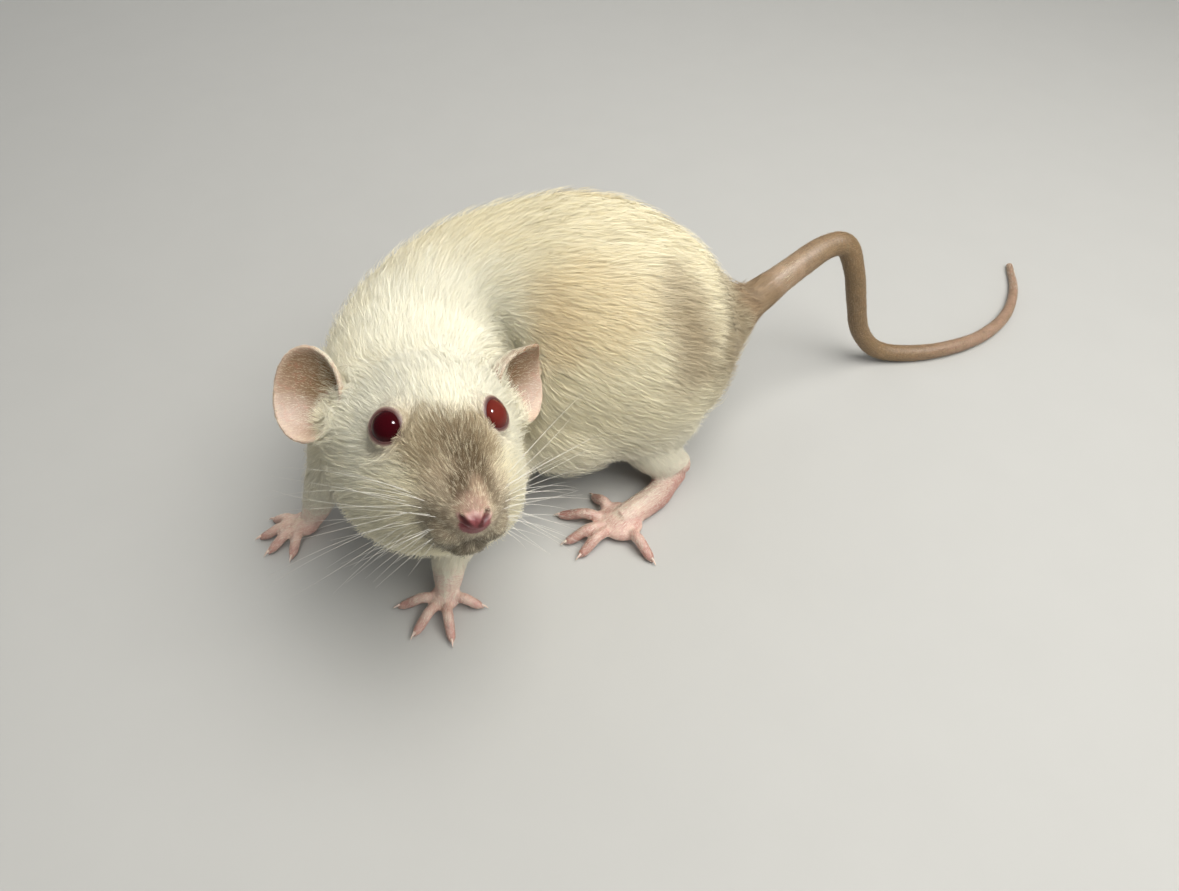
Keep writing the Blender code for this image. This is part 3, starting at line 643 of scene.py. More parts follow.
class Tree:
    # Short ways to add and join shader nodes
    def __init__(self, tree):
        self.tree = tree

    def node(self, kind, settings=None, **inputs):
        made = self.tree.nodes.new(kind)
        for key, value in (settings or {}).items():
            setattr(made, key, value)
        for key, value in inputs.items():
            numbered = key[0] == "i" and key[1:].isdigit()
            self.feed(made.inputs[int(key[1:]) if numbered else key.replace("_", " ")], value)
        return made

    def feed(self, socket, value):
        if isinstance(value, bpy.types.NodeSocket):
            self.tree.links.new(value, socket)
        else:
            socket.default_value = value

    def vector(self, operation, a, b=(0, 0, 0), c=None):
        made = self.node("ShaderNodeVectorMath", {"operation": operation}, i0=a, i1=b)
        if c is not None:
            self.feed(made.inputs[2], c)
        return made.outputs["Value" if operation in ("LENGTH", "DOT_PRODUCT") else "Vector"]

    def math(self, operation, a, b=0.0):
        return self.node("ShaderNodeMath", {"operation": operation}, i0=a, i1=b).outputs[0]

    def noise(self, coordinates, scale, detail=2.0, rough=0.5):
        sockets = {"Vector": coordinates, "Scale": scale, "Detail": detail, "Roughness": rough}
        return self.node("ShaderNodeTexNoise", None, **sockets).outputs[0]

    def carried(self, name, output="Fac"):
        return self.node("ShaderNodeAttribute", {"attribute_name": name}).outputs[output]

    def bump(self, shader, height, strength, distance):
        made = self.node("ShaderNodeBump", None, Strength=strength, Distance=distance, Height=height)
        self.feed(shader.inputs["Normal"], made.outputs[0])

    def between(self, value, low, high, new=(0.0, 1.0), smooth=True):
        made = self.node("ShaderNodeMapRange", {"interpolation_type": "SMOOTHSTEP" if smooth else "LINEAR"},
                         Value=value, From_Min=low, From_Max=high, To_Min=new[0], To_Max=new[1])
        return made.outputs[0]

    def mix(self, share, a, b, blend="MIX"):
        made = self.node("ShaderNodeMix", {"data_type": "RGBA", "blend_type": blend})
        for index, value in ((0, share), (6, a), (7, b)):
            if isinstance(value, tuple) and len(value) == 3:
                value = (*value, 1)
            self.feed(made.inputs[index], value)
        return made.outputs[2]


def bodyPlace(tree):
    # Body millimetres at the shaded point
    spot = tree.node("ShaderNodeTexCoord").outputs["Object"]
    return tree.vector("MULTIPLY_ADD", spot, (1000, 1000, 1000), tuple(home))


def headPlace(tree, place):
    away = tree.vector("SUBTRACT", place, tuple(noseTip))
    parts = [tree.vector("DOT_PRODUCT", away, tuple(axis)) for axis in headAxes]
    return tree.node("ShaderNodeCombineXYZ", None, i0=parts[0], i1=parts[1], i2=parts[2]).outputs[0]


def patchMask(tree, place, middle, halves, softness, wobble):
    near = tree.vector("MULTIPLY", tree.vector("SUBTRACT", place, middle), tuple(1 / h for h in halves))
    reach = tree.math("ADD", tree.vector("LENGTH", near), wobble)
    return tree.between(reach, 1 + softness, 1 - softness)


def peltGroup():
    group = bpy.data.node_groups.new("pelt colour", "ShaderNodeTree")
    group.interface.new_socket("Place", in_out="INPUT", socket_type="NodeSocketVector")
    group.interface.new_socket("Strand", in_out="INPUT", socket_type="NodeSocketFloat")
    group.interface.new_socket("Colour", in_out="OUTPUT", socket_type="NodeSocketColor")
    tree = Tree(group)
    entry = group.nodes.new("NodeGroupInput")
    place, strand = entry.outputs[0], entry.outputs[1]
    ragged = tree.math("MULTIPLY", tree.math("SUBTRACT", strand, 0.5), pelt["ragged"])
    own = headPlace(tree, place)
    height = tree.node("ShaderNodeSeparateXYZ", None, i0=place).outputs[2]
    colour = tree.mix(tree.between(height, *pelt["bellyTo"]), pelt["belly"], pelt["cream"])
    for key, where in (("body", place), ("head", own), ("mask", own)):
        grain, play = pelt["edges"][key]
        blur = tree.noise(place, grain, 3.0)
        wobble = tree.math("ADD", tree.math("MULTIPLY", tree.math("SUBTRACT", blur, 0.5), play), ragged)
        for middle, halves, shade, strength, softness in pelt[key]:
            mask = patchMask(tree, where, middle, halves, softness, wobble)
            colour = tree.mix(tree.math("MULTIPLY", mask, strength), colour, shade)
    pale = tree.between(strand, 0.80, 0.86, (0.0, pelt["white"]))
    pale = tree.math("MULTIPLY", pale, patchMask(tree, own, *pelt["faceOnly"], 0.0))
    colour = tree.mix(pale, colour, pelt["cream"])
    streaks = tree.noise(place, pelt["fine"], 3.0)
    colour = tree.mix(1.0, colour, tree.between(streaks, 0.3, 0.7, (0.92, 1.03)), "MULTIPLY")
    out = group.nodes.new("NodeGroupOutput")
    group.links.new(colour, out.inputs[0])
    return group


peltColour = peltGroup()


def newMaterial(name):
    made = bpy.data.materials.new(name)
    made.use_nodes = True
    return made, Tree(made.node_tree), made.node_tree.nodes["Principled BSDF"]


def settings(tree, shader, colour, **values):
    tree.feed(shader.inputs["Base Color"], colour)
    for key, value in values.items():
        shader.inputs[key.replace("_", " ")].default_value = value


bareSkin = {
    "foot": (0.66, 0.455, 0.385),
    "footDark": (0.52, 0.285, 0.24),
    "toe": (0.39, 0.182, 0.152),
    "ear": (0.41, 0.285, 0.212),
    # earDeep: the ears' brown, with painted shade in the cup's hollow
    "earDeep": (0.185, 0.103, 0.036),
    "earRim": (0.60, 0.46, 0.355),
    "vein": (0.50, 0.20, 0.14),
    "nose": (0.20, 0.046, 0.05),
    "noseTop": (0.40, 0.225, 0.18),
    # painted shade inside the nostrils and along the mouth's line
    "pitShade": (0.055, 0.006, 0.006),
    # rim: the lids' own dark edge, with painted shade where they meet the eyeball
    "rim": (0.095, 0.034, 0.032),
    "lid": (0.30, 0.215, 0.175),
    "underCoat": (0.84, 0.66, 0.54),
    "underCoatShare": 0.2,
    "toeFrom": (4.0, 12.0, 0.7),  # from where to where the toes' colour comes in, and how much
    "veinWidth": 0.035,
    "veinShare": 0.22,
    # middle, half sizes and softness of the nose leather and of the thin fur over it
    "noseAt": ((-0.3, 0.1, -1.3), (3.0, 2.7, 2.3), 0.22),
    "noseTopAt": ((-0.3, 0.5, 0.6), (3.1, 3.2, 2.6), 0.3),
    "toeRings": (8.4, 0.32),  # how close the rings on the toes follow each other, and their strength
    "relief": (0.5, 0.00016),  # strength, and height in metres
    "roughness": 0.5,
}


def skinMaterial():
    made, tree, shader = newMaterial("rat skin")
    place = bodyPlace(tree)
    own = headPlace(tree, place)
    masks = {}
    for name in ("bare", "earShare", "earDeep", "earRim", "pitShade", "rim", "lid", "toeReach"):
        masks[name] = tree.carried(name)
    colour = tree.node("ShaderNodeGroup", {"node_tree": peltColour}, i0=place, i1=0.5).outputs[0]
    colour = tree.mix(bareSkin["underCoatShare"], colour, bareSkin["underCoat"])
    blotch = tree.noise(place, 0.45, 4.0)
    foot = tree.mix(tree.between(blotch, 0.35, 0.72), bareSkin["foot"], bareSkin["footDark"])
    low, high, share = bareSkin["toeFrom"]
    foot = tree.mix(tree.between(masks["toeReach"], low, high, (0.0, share)), foot, bareSkin["toe"])
    ear = tree.mix(masks["earDeep"], bareSkin["ear"], bareSkin["earDeep"])
    ear = tree.mix(masks["earRim"], ear, bareSkin["earRim"])
    branch = tree.math("ABSOLUTE", tree.math("SUBTRACT", tree.noise(place, 0.33, 2.0, 0.4), 0.5))
    vein = tree.between(branch, bareSkin["veinWidth"], 0.0, (0.0, bareSkin["veinShare"]))
    ear = tree.mix(vein, ear, bareSkin["vein"])
    colour = tree.mix(masks["bare"], colour, tree.mix(masks["earShare"], foot, ear))
    wobble = tree.math("MULTIPLY", blotch, 0.1)
    for name in ("noseTop", "nose"):
        colour = tree.mix(patchMask(tree, own, *bareSkin[name + "At"], wobble), colour, bareSkin[name])
    for name in ("pitShade", "lid", "rim"):
        colour = tree.mix(masks[name], colour, bareSkin[name])
    settings(tree, shader, colour, Roughness=bareSkin["roughness"], Subsurface_Weight=0.15,
             Subsurface_Scale=0.0012, Subsurface_Radius=(1.0, 0.4, 0.25))
    fine = tree.noise(place, 3.2, 3.0, 0.6)
    creases = tree.noise(place, 1.1, 4.0, 0.6)
    close, strength = bareSkin["toeRings"]
    rings = tree.math("SINE", tree.math("MULTIPLY", masks["toeReach"], close))
    rings = tree.math("MULTIPLY", rings, strength)
    height = tree.math("ADD", tree.math("ADD", fine, tree.math("MULTIPLY", creases, 0.6)), rings)
    tree.bump(shader, height, *bareSkin["relief"])
    return made


def attribute(mesh, name, values):
    made = mesh.attributes.new(name, "FLOAT", "POINT")
    made.data.foreach_set("value", np.ascontiguousarray(values, np.float32))


own = toHead(field.points)
barePlan = {
    "ankle": {"foreleg": 4.5, "hind_leg": 6.0},  # how high the bare skin of each foot ends
    "footTop": 0.35,  # share of coat colour on top of the foot
    "shin": 0.4,  # share of bare skin just over the ankle
    "pitShade": (0.3, 0.8),
    "mouth": (0.12, 0.45, 0.6),  # where the painted shade along the mouth's line ends, and its strength
    "lidEdge": (3, 10, 1.2),  # degrees past the lids' edge, and reach past the eyeball, of the dark rim: the lids' own edge with painted shade where they meet the eyeball
    "lidRing": (8, 20, 1.8),
}
limbs = ["foreleg_left", "foreleg_right", "hind_leg_left", "hind_leg_right"]
bareness = np.where(isFoot | isEar, 1.0, 0.0)
for foot, limb in zip(feet, limbs):
    some = names == foot
    high = barePlan["ankle"][kindOf(limb)]
    bareness[some] = 1 - barePlan["footTop"] * ramp(field.points[some, 2], high - 2.5, high + 1.5)
    shin = names == limb
    bareness[shin] = barePlan["shin"] * (1 - ramp(field.points[shin, 2], high, high + 6))
bareness = field.spread(bareness, 16)
earness = field.spread(isEar.astype(float), 4)
faceOnly = isHead & (own[:, 1] < 18)
# painted shade in the nostrils and along the mouth's line, which are also kept bare of coat
pitShade = np.zeros(field.count)
toNostril = reachTo(mirrored(own[faceOnly], facePlan["twitch"]), facePlan["nostril"])
low, high, share = barePlan["mouth"]
mouthShade = share * (1 - ramp(reachTo(mirrored(own[faceOnly]), facePlan["mouth"]), low, high))
pitShade[faceOnly] = np.maximum(1 - ramp(toNostril, *barePlan["pitShade"]), mouthShade)


def lidBand(low, high, past):
    # Strongest at the edge of the lids, and gone this many degrees past it
    shade = np.zeros(field.count)
    for side in sides:
        distance, degrees = pastLids(side, field.points)
        shade = np.maximum(shade, (1 - ramp(degrees, low, high)) * (distance < head["eyeRadius"] + past))
    return shade


earPlan = {
    # root, way out and way up of each ear, in the head's own left, back and up
    "left": ((14.6, 38.0, 7.6), (0.83, 0.53, 0.0), (0.2, 0.35, 0.93)),
    "right": ((-14.8, 38.4, 8.8), (-0.88, 0.42, 0.05), (-0.04, 0.35, 0.93)),
    # strength of the brown at the top, of the painted shade in the hollow, and of the brown along the head
    "brownTop": 0.68,
    "hollowShade": 0.45,
    "brownInner": 0.4,
    "topFrom": (-0.2, 0.55),  # where the brown begins and is full, as shares of half the ear
    "innerFrom": (-0.6, 0.0),
    "slant": 0.7,
    "hollowAt": (-0.25, -0.05, 0.4),  # its middle across and up, and its size
    # how far forward the skin faces where the cup begins and where it is full, and the back's share of brown
    "cup": (-0.1, 0.5, 0.2),
    "waves": (0.16, 5.0),  # play and grain of the brown's edge
    "rim": (0.78, 0.98, 0.7),  # where the paler rim begins and ends, and its strength
    "halves": (1.5, 5),  # the root's own reach out and up, from where the hairs' distance to it counts
}


def earPlace(side):
    # How far out, up and forward from its ear's root each point of the skin lies
    root, out, up = (np.array(v, float) for v in earPlan[side])
    out = unit(out)
    up = unit(up - out * (up @ out))
    front = np.cross(out, up) * sides[side]
    away = own - root
    return away @ out, away @ up, away @ front, front @ headAxes


earDeep, earRim = np.zeros(field.count), np.zeros(field.count)
toEar = np.full(field.count, 99.0)
skinFacing = normalsOf(skin.data)
for side in sides:
    out, up, forward, front = earPlace(side)
    some = names == f"ear_{side}"
    low, high, least = earPlan["cup"]
    cup = least + (1 - least) * ramp(skinFacing[some] @ front, low, high)
    outs, ups = out[some], up[some]
    across, high = (outs - outs.mean()) / np.ptp(outs) * 2, (ups - ups.mean()) / np.ptp(ups) * 2
    play, grain = earPlan["waves"]
    slant = high - 0.1 - earPlan["slant"] * (across - 1) + play * waviness(field.points[some], grain, 31)
    middleAcross, middleUp, size = earPlan["hollowAt"]
    # painted shade in the deepest part of the cup, added to the ear's brown
    hollow = np.exp(-((across - middleAcross) / size) ** 2 - ((high - middleUp) / size) ** 2)
    brown = earPlan["brownTop"] * ramp(slant, *earPlan["topFrom"]) + earPlan["hollowShade"] * hollow
    brown += earPlan["brownInner"] * (1 - ramp(across, *earPlan["innerFrom"]))
    begin, end, share = earPlan["rim"]
    edge = ramp(np.hypot(across, high), begin, end)
    earDeep[some] = np.clip(brown, 0, 1) * cup * (1 - 0.8 * edge)
    earRim[some] = edge * share
    pastOut, pastUp = (np.maximum(np.abs(v) - half, 0) for v, half in zip((out, up), earPlan["halves"]))
    toEar = np.minimum(toEar, np.sqrt(pastOut**2 + pastUp**2 + forward**2))
toeReach = np.zeros(field.count)
for foot in feet:
    (x, y), _, _ = footPlan[foot]
    some = names == foot
    toeReach[some] = np.linalg.norm(field.points[some, :2] - (x, y), axis=1)
skinShares = {
    "bare": np.clip(bareness, 0, 1),
    "earShare": np.clip(earness, 0, 1),
    "earDeep": field.spread(earDeep, 4),
    "earRim": field.spread(earRim, 4),
    "pitShade": pitShade,
    "rim": lidBand(*barePlan["lidEdge"]),
    "lid": field.spread(lidBand(*barePlan["lidRing"]), 4),
    "toeReach": toeReach,
}
for name, values in skinShares.items():
    attribute(skin.data, name, values)
skin.data.materials.clear()
skin.data.materials.append(skinMaterial())
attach(skin, "root")
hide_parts(*skinPlan["flesh"])
report("skin coloured")

# Tail

tailPlan = {
    # middle line and radius, from inside the rump to the tip
    "rows": [(31, 12.6, 28.5, 4.2), (38, 16.4, 31.6, 3.8), (49, 23.4, 36.2, 3.25), (57, 28.6, 38.6, 2.95),
             (62.6, 30.6, 37.6, 2.8), (66.0, 29.8, 30.5, 2.55), (68.4, 29.4, 21.5, 2.45),
             (71.6, 30.0, 11.5, 2.35), (77.5, 30.8, 4.2, 2.3), (86, 31.2, 2.05, 2.2), (97, 33.0, 1.85, 2.0),
             (109, 38.4, 1.6, 1.75), (119, 47.6, 1.35, 1.5), (125.5, 59.5, 1.1, 1.2),
             (128.5, 72.5, 0.8, 0.9)],
    "ring": 0.85,  # one ring of scales, in mm
    "inRing": 4,  # rows of points in one ring of scales
    "step": 0.06,  # how far a ring stands out at its lower edge
    "scale": 0.018,  # how far each scale stands out
    "sides": 28,
    "lowest": 0.02,
    "base": (0.40, 0.28, 0.185),
    "warm": (0.215, 0.135, 0.062),
    "end": (0.36, 0.23, 0.16),
    "warmFrom": (42.0, 64.0),  # from where to where across the body each colour comes in
    "endFrom": (78.0, 112.0),
    "relief": (0.4, 0.00006),  # strength, and height in metres
    "wave": ((0.012, 0.11, 0), (0.008, 0.047, 1)),  # slight changes of its thickness
    "hairDensity": 6.5,
    # length, width and lift of the hairs at the root of the tail, and how much less further on
    "hair": ((3.4, 2.2), (0.085, 0.055), (0.34, 0.16)),
    "furred": (8, 17),  # from where to where along the tail the rump's fur gets shorter
    "closeTo": (9, 17),  # and thinner
    "rootMore": 4.5,
}


def evenly(path, pitch):
    # The same path with a point at each step of this length
    runs = np.linalg.norm(np.diff(path[:, :3], axis=0), axis=1)
    station = np.concatenate([[0], np.cumsum(runs)])
    spots = np.arange(0, station[-1], pitch)
    return np.stack([np.interp(spots, station, path[:, k]) for k in range(path.shape[1])], 1)


def ringFrames(points):
    # The way a line runs at each point, and two directions square to it that turn as little as they can
    ways = unit(np.gradient(points, axis=0))
    side = unit(np.cross(ways[0], (0, 0, 1)))
    frames = []
    for way in ways:
        side = unit(side - way * (side @ way))
        frames.append((side, np.cross(way, side)))
    return ways, frames


def tailTube():
    inRing = tailPlan["inRing"]
    path = evenly(smoothPath(tailPlan["rows"], 24), tailPlan["ring"] / inRing)
    ways, frames = ringFrames(path[:, :3])
    points = []
    count = tailPlan["sides"]
    turns = np.arange(count) / count * 2 * math.pi
    for k, (row, (side, up)) in enumerate(zip(path, frames)):
        saw = (k % inRing) / (inRing - 1)
        grow = tailPlan["step"] * (saw - 0.5) * min(1, row[3] / 2)
        scales = tailPlan["scale"] * np.sin(turns * (count // 2) + k // inRing * math.pi)
        wave = sum((size * math.sin(k * pace + start) for size, pace, start in tailPlan["wave"]), 1)
        radius = (row[3] * wave + grow + scales)[:, None]
        ring = row[:3] + radius * (np.cos(turns)[:, None] * side + np.sin(turns)[:, None] * up)
        ring[:, 2] = np.maximum(ring[:, 2], tailPlan["lowest"])
        points.extend(ring)
    rings = len(path)
    faces = bandFaces(rings, count)
    points.append(path[0, :3])
    end = path[-1, :3] + ways[-1] * path[-1, 3]
    points.append((end[0], end[1], max(end[2], 0.1)))
    for j in range(count):
        n = (j + 1) % count
        faces.append([len(points) - 2, n, j])
        faces.append([len(points) - 1, (rings - 1) * count + j, (rings - 1) * count + n])
    return path, meshObject("tail", toMetres(points), faces)


def tailMaterial():
    made, tree, shader = newMaterial("tail skin")
    place = bodyPlace(tree)
    across = tree.node("ShaderNodeSeparateXYZ", None, i0=place).outputs[0]
    blotch = tree.noise(place, 0.4, 3.0)
    colour = tailPlan["base"]
    for name in ("warm", "end"):
        colour = tree.mix(tree.between(across, *tailPlan[name + "From"]), colour, tailPlan[name])
    dark = tuple(0.72 * c for c in tailPlan["warm"])
    colour = tree.mix(tree.between(blotch, 0.35, 0.7, (0.0, 0.4)), colour, dark)
    scales = tree.node("ShaderNodeTexVoronoi", {"feature": "DISTANCE_TO_EDGE"}, Vector=place, Scale=1.6)
    edge = tree.between(scales.outputs["Distance"], 0.0, 0.16)
    colour = tree.mix(1.0, colour, tree.between(edge, 0.0, 1.0, (0.8, 1.03)), "MULTIPLY")
    tree.bump(shader, edge, *tailPlan["relief"])
    settings(tree, shader, colour, Roughness=0.5, Subsurface_Weight=0.08, Subsurface_Scale=0.001)
    return made


tailPath, tail = tailTube()
tailLine = tailPath[::12, :3]
tailPoints = fromMetres([v.co for v in tail.data.vertices])
tailNormals = normalsOf(tail.data)
tail.data.materials.append(tailMaterial())
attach(tail, "root")
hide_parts("tail_1", "tail_2", "tail_3", "tail_4")
report("tail")

# Coat

coatPlan = {
    "tufts": 670000,
    "mostInPiece": 97000,
    "quickShare": 0.25,
    "sink": 0.15,  # of the root under the skin
    "bend": 0.45,  # share of the length where the tuft is widest
    "stray": 0.07,  # share of guard hairs that stand out
    "roll": 0.5,  # how much the blades are turned about their length, in radians
    "lowest": 0.05,
    "inClump": 10,  # tufts that lean together at their tips
    "pull": (0.11, 0.36),  # how much, at the middle and at the tip
    "bodyCalm": 0.55,  # share of that, and of the strands' play of shade, on the body
    "seed": 7,
    "standOut": (1.2, 1.9),  # how much higher the guard hairs stand
    "lie": (0.75, 1.05),  # and how high all the others, as shares of the coat's depth
    "swing": 0.15,  # how far each tuft turns aside, in radians
    "reach": (0.75, 0.45, 1.2),  # shortest share of the length on the body and on the legs, and longest
    "high": (0.76, 0.93),  # how high its middle and its tip lie, as shares of its lift
    "bulge": 0.26,  # roundness of a blade's shading
    "faceTo": (14, 30),  # how far back the face's play of heights runs out
    "calmFrom": (24, 46),  # and how far back the body's calm comes in
    "patch": 0.003,  # side of each tuft's place on its piece's OFBake map
    # at the stations of the head: tufts for each square mm, length and width
    "headDensity": (55, 62, 58, 46, 36, 27),
    "headLength": (0.9, 1.6, 2.5, 3.3, 4.2, 5.4),
    "headWidth": (0.055, 0.06, 0.065, 0.07, 0.08, 0.095),
    "body": (21.0, 6.2, 0.10),  # density, length, width
    "foreleg": (28.0, 4.4, 0.085),
    "hind_leg": (23.0, 5.4, 0.095),
    "foot": (9.0, 1.1, 0.04),
    "ear": (5.0, 1.0, 0.03),
    "flank": (25, 0.45),  # how far out from the spine the coat hangs down, and how much
    "legLie": (10, 26),  # heights between which the legs' own lie turns into the body's
    "shortLegs": {"foreleg": 5.0, "hind_leg": 6.0},  # height from which the legs' hairs grow longer
    "shortest": (0.26, 0.45, 13),  # shares of length and width there, and how much higher they are full
    "faceFrom": (0, -7.0, 1.0),  # where the lines of the face's hairs would meet, in front of the nose
    "footFrom": (2, 5, 0.8),  # height that the feet's hairs run from, its blur, and their lean ahead
    "footTop": (2.5, 6.0, 1.9, 0.7),  # heights between which the hairs grow closer and longer, and how much
    "earRoot": (0.5, 5.5),  # how far out on the ear its hairs are closer, longer and wider
    "earRootMore": (1.6, 2.2, 0.4),
    "earHairs": (2.5, 9, 1.5),  # from where to where they lean out over the ear, and how much longer they are
    "flowRounds": (24, 12),
    # round the eyes, reaches between which the hairs part, are shorter and stand closer, and how much
    "eyePart": (3.6, 8.0, 1.2),
    "eyeShort": (3.8, 8.0, 0.65),
    "eyeClose": (4.2, 6.5, 0.9),
    "lidBare": (1.6, 7),  # reach past the eyeball and degrees past the lids' edge
    "noseBare": ((-0.3, -0.3, -1.0), (2.7, 2.3, 2.2), (0.85, 1.1)),
    "sole": -0.2,  # skin of the feet that faces further down than this is bare
    # how much the coat stands up at the lids, at the ears' roots and how much less at the tail's root
    "lidLift": (4.5, 8, 0.24),
    "earLift": (2.5, 7.5, 1.1),
    "tailLift": (31, 38.5, 0.7),
}


def coatFields():
    # Which way the tufts lie at each point of the skin, how close they stand, their length and their width
    points = field.points
    own = toHead(points)
    normals = normalsOf(skin.data)
    spine = smoothPath(paths["spine"], 4)
    flow = np.zeros((field.count, 3))
    density, length, width = np.zeros(field.count), np.ones(field.count), np.full(field.count, 0.05)
    atOnce = 40000
    wide, hang = coatPlan["flank"]
    for start in range(0, field.count, atOnce):
        some = slice(start, start + atOnce)
        _, spots, way = alongPath(points[some], spine)
        flank = np.clip(np.linalg.norm((points[some] - spots)[:, :2], axis=1) / wide, 0, 1)
        flow[some] = unit(way + np.array([0, 0, -hang]) * flank[:, None])
    for kind in ("neck", "chest", "torso", "rump"):
        density[kinds == kind], length[kinds == kind], width[kinds == kind] = coatPlan["body"]
    for kind in ("foreleg", "hind_leg"):
        density[kinds == kind], length[kinds == kind], width[kinds == kind] = coatPlan[kind]
        for side in sides:
            some = names == f"{kind}_{side}"
            _, _, way = alongPath(points[some], smoothPath(paths[f"{kind}_{side}"], 4))
            share = 1 - ramp(points[some, 2], *coatPlan["legLie"])
            flow[some] = unit(flow[some] * (1 - share)[:, None] + way * share[:, None] + flow[some] * 0.1)
            low = coatPlan["shortLegs"][kind]
            short, narrow, higher = coatPlan["shortest"]
            up = ramp(points[some, 2], low, low + higher)
            length[some] *= short + (1 - short) * up
            width[some] *= narrow + (1 - narrow) * up
    density[isFoot], length[isFoot], width[isFoot] = coatPlan["foot"]
    density[isEar], length[isEar], width[isEar] = coatPlan["ear"]
    backs = own[isHead, 1]
    for values, key in ((density, "headDensity"), (length, "headLength"), (width, "headWidth")):
        values[isHead] = np.interp(backs, head["stations"], coatPlan[key])
    fromNose = unit(own - coatPlan["faceFrom"])
    fromNose[:, 2] -= 0.2 * np.clip(np.abs(own[:, 0]) / 15, 0, 1)
    flow[isHead] = unit(fromNose[isHead]) @ headAxes
    middleHigh, blur, ahead = coatPlan["footFrom"]
    low, high, closer, longer = coatPlan["footTop"]
    for foot in feet:
        some = names == foot
        (x, y), heading, _ = footPlan[foot]
        turn = math.radians(heading)
        outward = points[some] - (x, y, middleHigh)
        outward /= np.linalg.norm(outward, axis=1)[:, None] + blur
        flow[some] = unit(outward + ahead * np.array([math.cos(turn), math.sin(turn), 0]))
        top = ramp(points[some, 2], low, high)
        density[some] *= 0.5 + closer * top
        length[some] *= 1 + longer * top
    for side, sign in sides.items():
        some = names == f"ear_{side}"
        out, _, _, _ = earPlace(side)
        flow[some] = unit(points[some] - fromHead(earPlan[side][0]))
        close = 1 - ramp(out[some], *coatPlan["earRoot"])
        for values, more in zip((density, length, width), coatPlan["earRootMore"]):
            values[some] *= 1 + more * close
        # hairs that stand in front of the ear lean out over it
        begin, end, longer = coatPlan["earHairs"]
        front = isHead & (toEar < end)
        outWay = unit(np.array(earPlan[side][1]) + 0.35 * np.array(earPlan[side][2])) @ headAxes
        share = (1 - ramp(toEar[front], begin, end)) * (own[front, 0] * sign > 0)
        flow[front] = unit(flow[front] * (1 - share)[:, None] + outWay * share[:, None] * 1.5)
        length[front] += longer * share
    density, length, width = field.spread(density, 14), field.spread(length, 24), field.spread(width, 20)
    for _ in range(coatPlan["flowRounds"][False]):
        flow = 0.5 * flow + 0.5 * field.mean(flow)
        flow = alongSkin(flow, normals)
    # round the eyes the hairs part and short ones follow the lids
    for side in sides:
        away = points - eyeCentres[side]
        distance, past = pastLids(side, points)
        part, shorter, closer = (
            share * (1 - ramp(distance, low, high))
            for low, high, share in (coatPlan["eyePart"], coatPlan["eyeShort"], coatPlan["eyeClose"])
        )
        flow = unit(flow + unit(away) * part[:, None])
        length *= 1 - shorter
        density *= 1 + closer
        reach, degrees = coatPlan["lidBare"]
        density[(distance < head["eyeRadius"] + reach) & (past < degrees)] = 0
    flow = alongSkin(flow, normals)
    # bare nose and the inside of the mouth
    middle, halves, edge = coatPlan["noseBare"]
    density *= ramp(np.linalg.norm((own - middle) / halves, axis=1), *edge)
    density[pitShade > 0.5] = 0
    # hands and feet are nearly bare, under them wholly
    density[isFoot & (normals[:, 2] < coatPlan["sole"])] = 0
    return flow, density, length, width, normals


flow, density, length, width, skinNormals = coatFields()
report("lie of the coat")


def triangles(mesh):
    mesh.calc_loop_triangles()
    corners = np.empty(len(mesh.loop_triangles) * 3, np.int32)
    mesh.loop_triangles.foreach_get("vertices", corners)
    return corners.reshape(-1, 3)


def areas(points, corners):
    a, b, c = (points[corners[:, k]] for k in range(3))
    return np.linalg.norm(np.cross(b - a, c - a), axis=1) / 2


def pickRoots(corners, weight, wanted, rng):
    # Evenly shared random spots on the triangles, as many as the weight of each asks for
    total = np.cumsum(areas(field.points, corners) * weight[corners].mean(1))
    count = int(min(wanted, total[-1]))
    spots = (np.arange(count) + rng.random(count)) / count * total[-1]
    picked = np.minimum(np.searchsorted(total, spots), len(corners) - 1)
    u, v = rng.random(count), rng.random(count)
    over = u + v > 1
    u[over], v[over] = 1 - u[over], 1 - v[over]
    return picked, np.stack([1 - u - v, u, v], 1)


skinCorners = triangles(skin.data)
rng = np.random.default_rng(coatPlan["seed"])
tuftShare = 1
picked, shares = pickRoots(skinCorners, density, coatPlan["tufts"] * tuftShare, rng)


def carried(values):
    # What the skin's points carry, at the root of each tuft
    if values.ndim == 1:
        return (values[skinCorners[picked]] * shares).sum(1)
    return np.einsum("nk,nkd->nd", shares, values[skinCorners[picked]])


roots = carried(field.points)
rootNormals = unit(carried(skinNormals))
rootFlow = unit(carried(flow))
rootLength = carried(length)
rootWidth = carried(width) / math.sqrt(tuftShare)
rootKind = kinds[skinCorners[picked, 0]]
rootName = names[skinCorners[picked, 0]]
low, high, least = coatPlan["lidLift"]
rootLift = np.maximum(carried(depth), least * (1 - ramp(carried(near), low, high)))
low, high, more = coatPlan["earLift"]
rootLift *= 1 + more * (1 - ramp(carried(np.minimum(toEar, 20)), low, high)) * (rootKind == "head")
low, high, less = coatPlan["tailLift"]
rootLift *= 1 - less * ramp(roots[:, 0], low, high) * (rootKind == "rump")


def tailRoots():
    # Short hairs from between the rings of the tail, close and longer where the rump's fur runs out on it
    corners = triangles(tail.data)
    station, _, way = alongPath(tailPoints[corners].mean(1), tailLine)
    weight = tailPlan["hairDensity"] * (1 + tailPlan["rootMore"] * (1 - ramp(station, *tailPlan["closeTo"])))
    share = np.cumsum(areas(tailPoints, corners) * weight)
    count = int(share[-1] * tuftShare)
    chosen = np.minimum(np.searchsorted(share, rng.random(count) * share[-1]), len(corners) - 1)
    spots = tailPoints[corners[chosen]].mean(1)
    facing = unit(tailNormals[corners[chosen]].mean(1))
    far = ramp(station[chosen], *tailPlan["furred"])
    lie = alongSkin(way[chosen], facing)
    return spots, facing, lie, *(full - less * far for full, less in tailPlan["hair"])


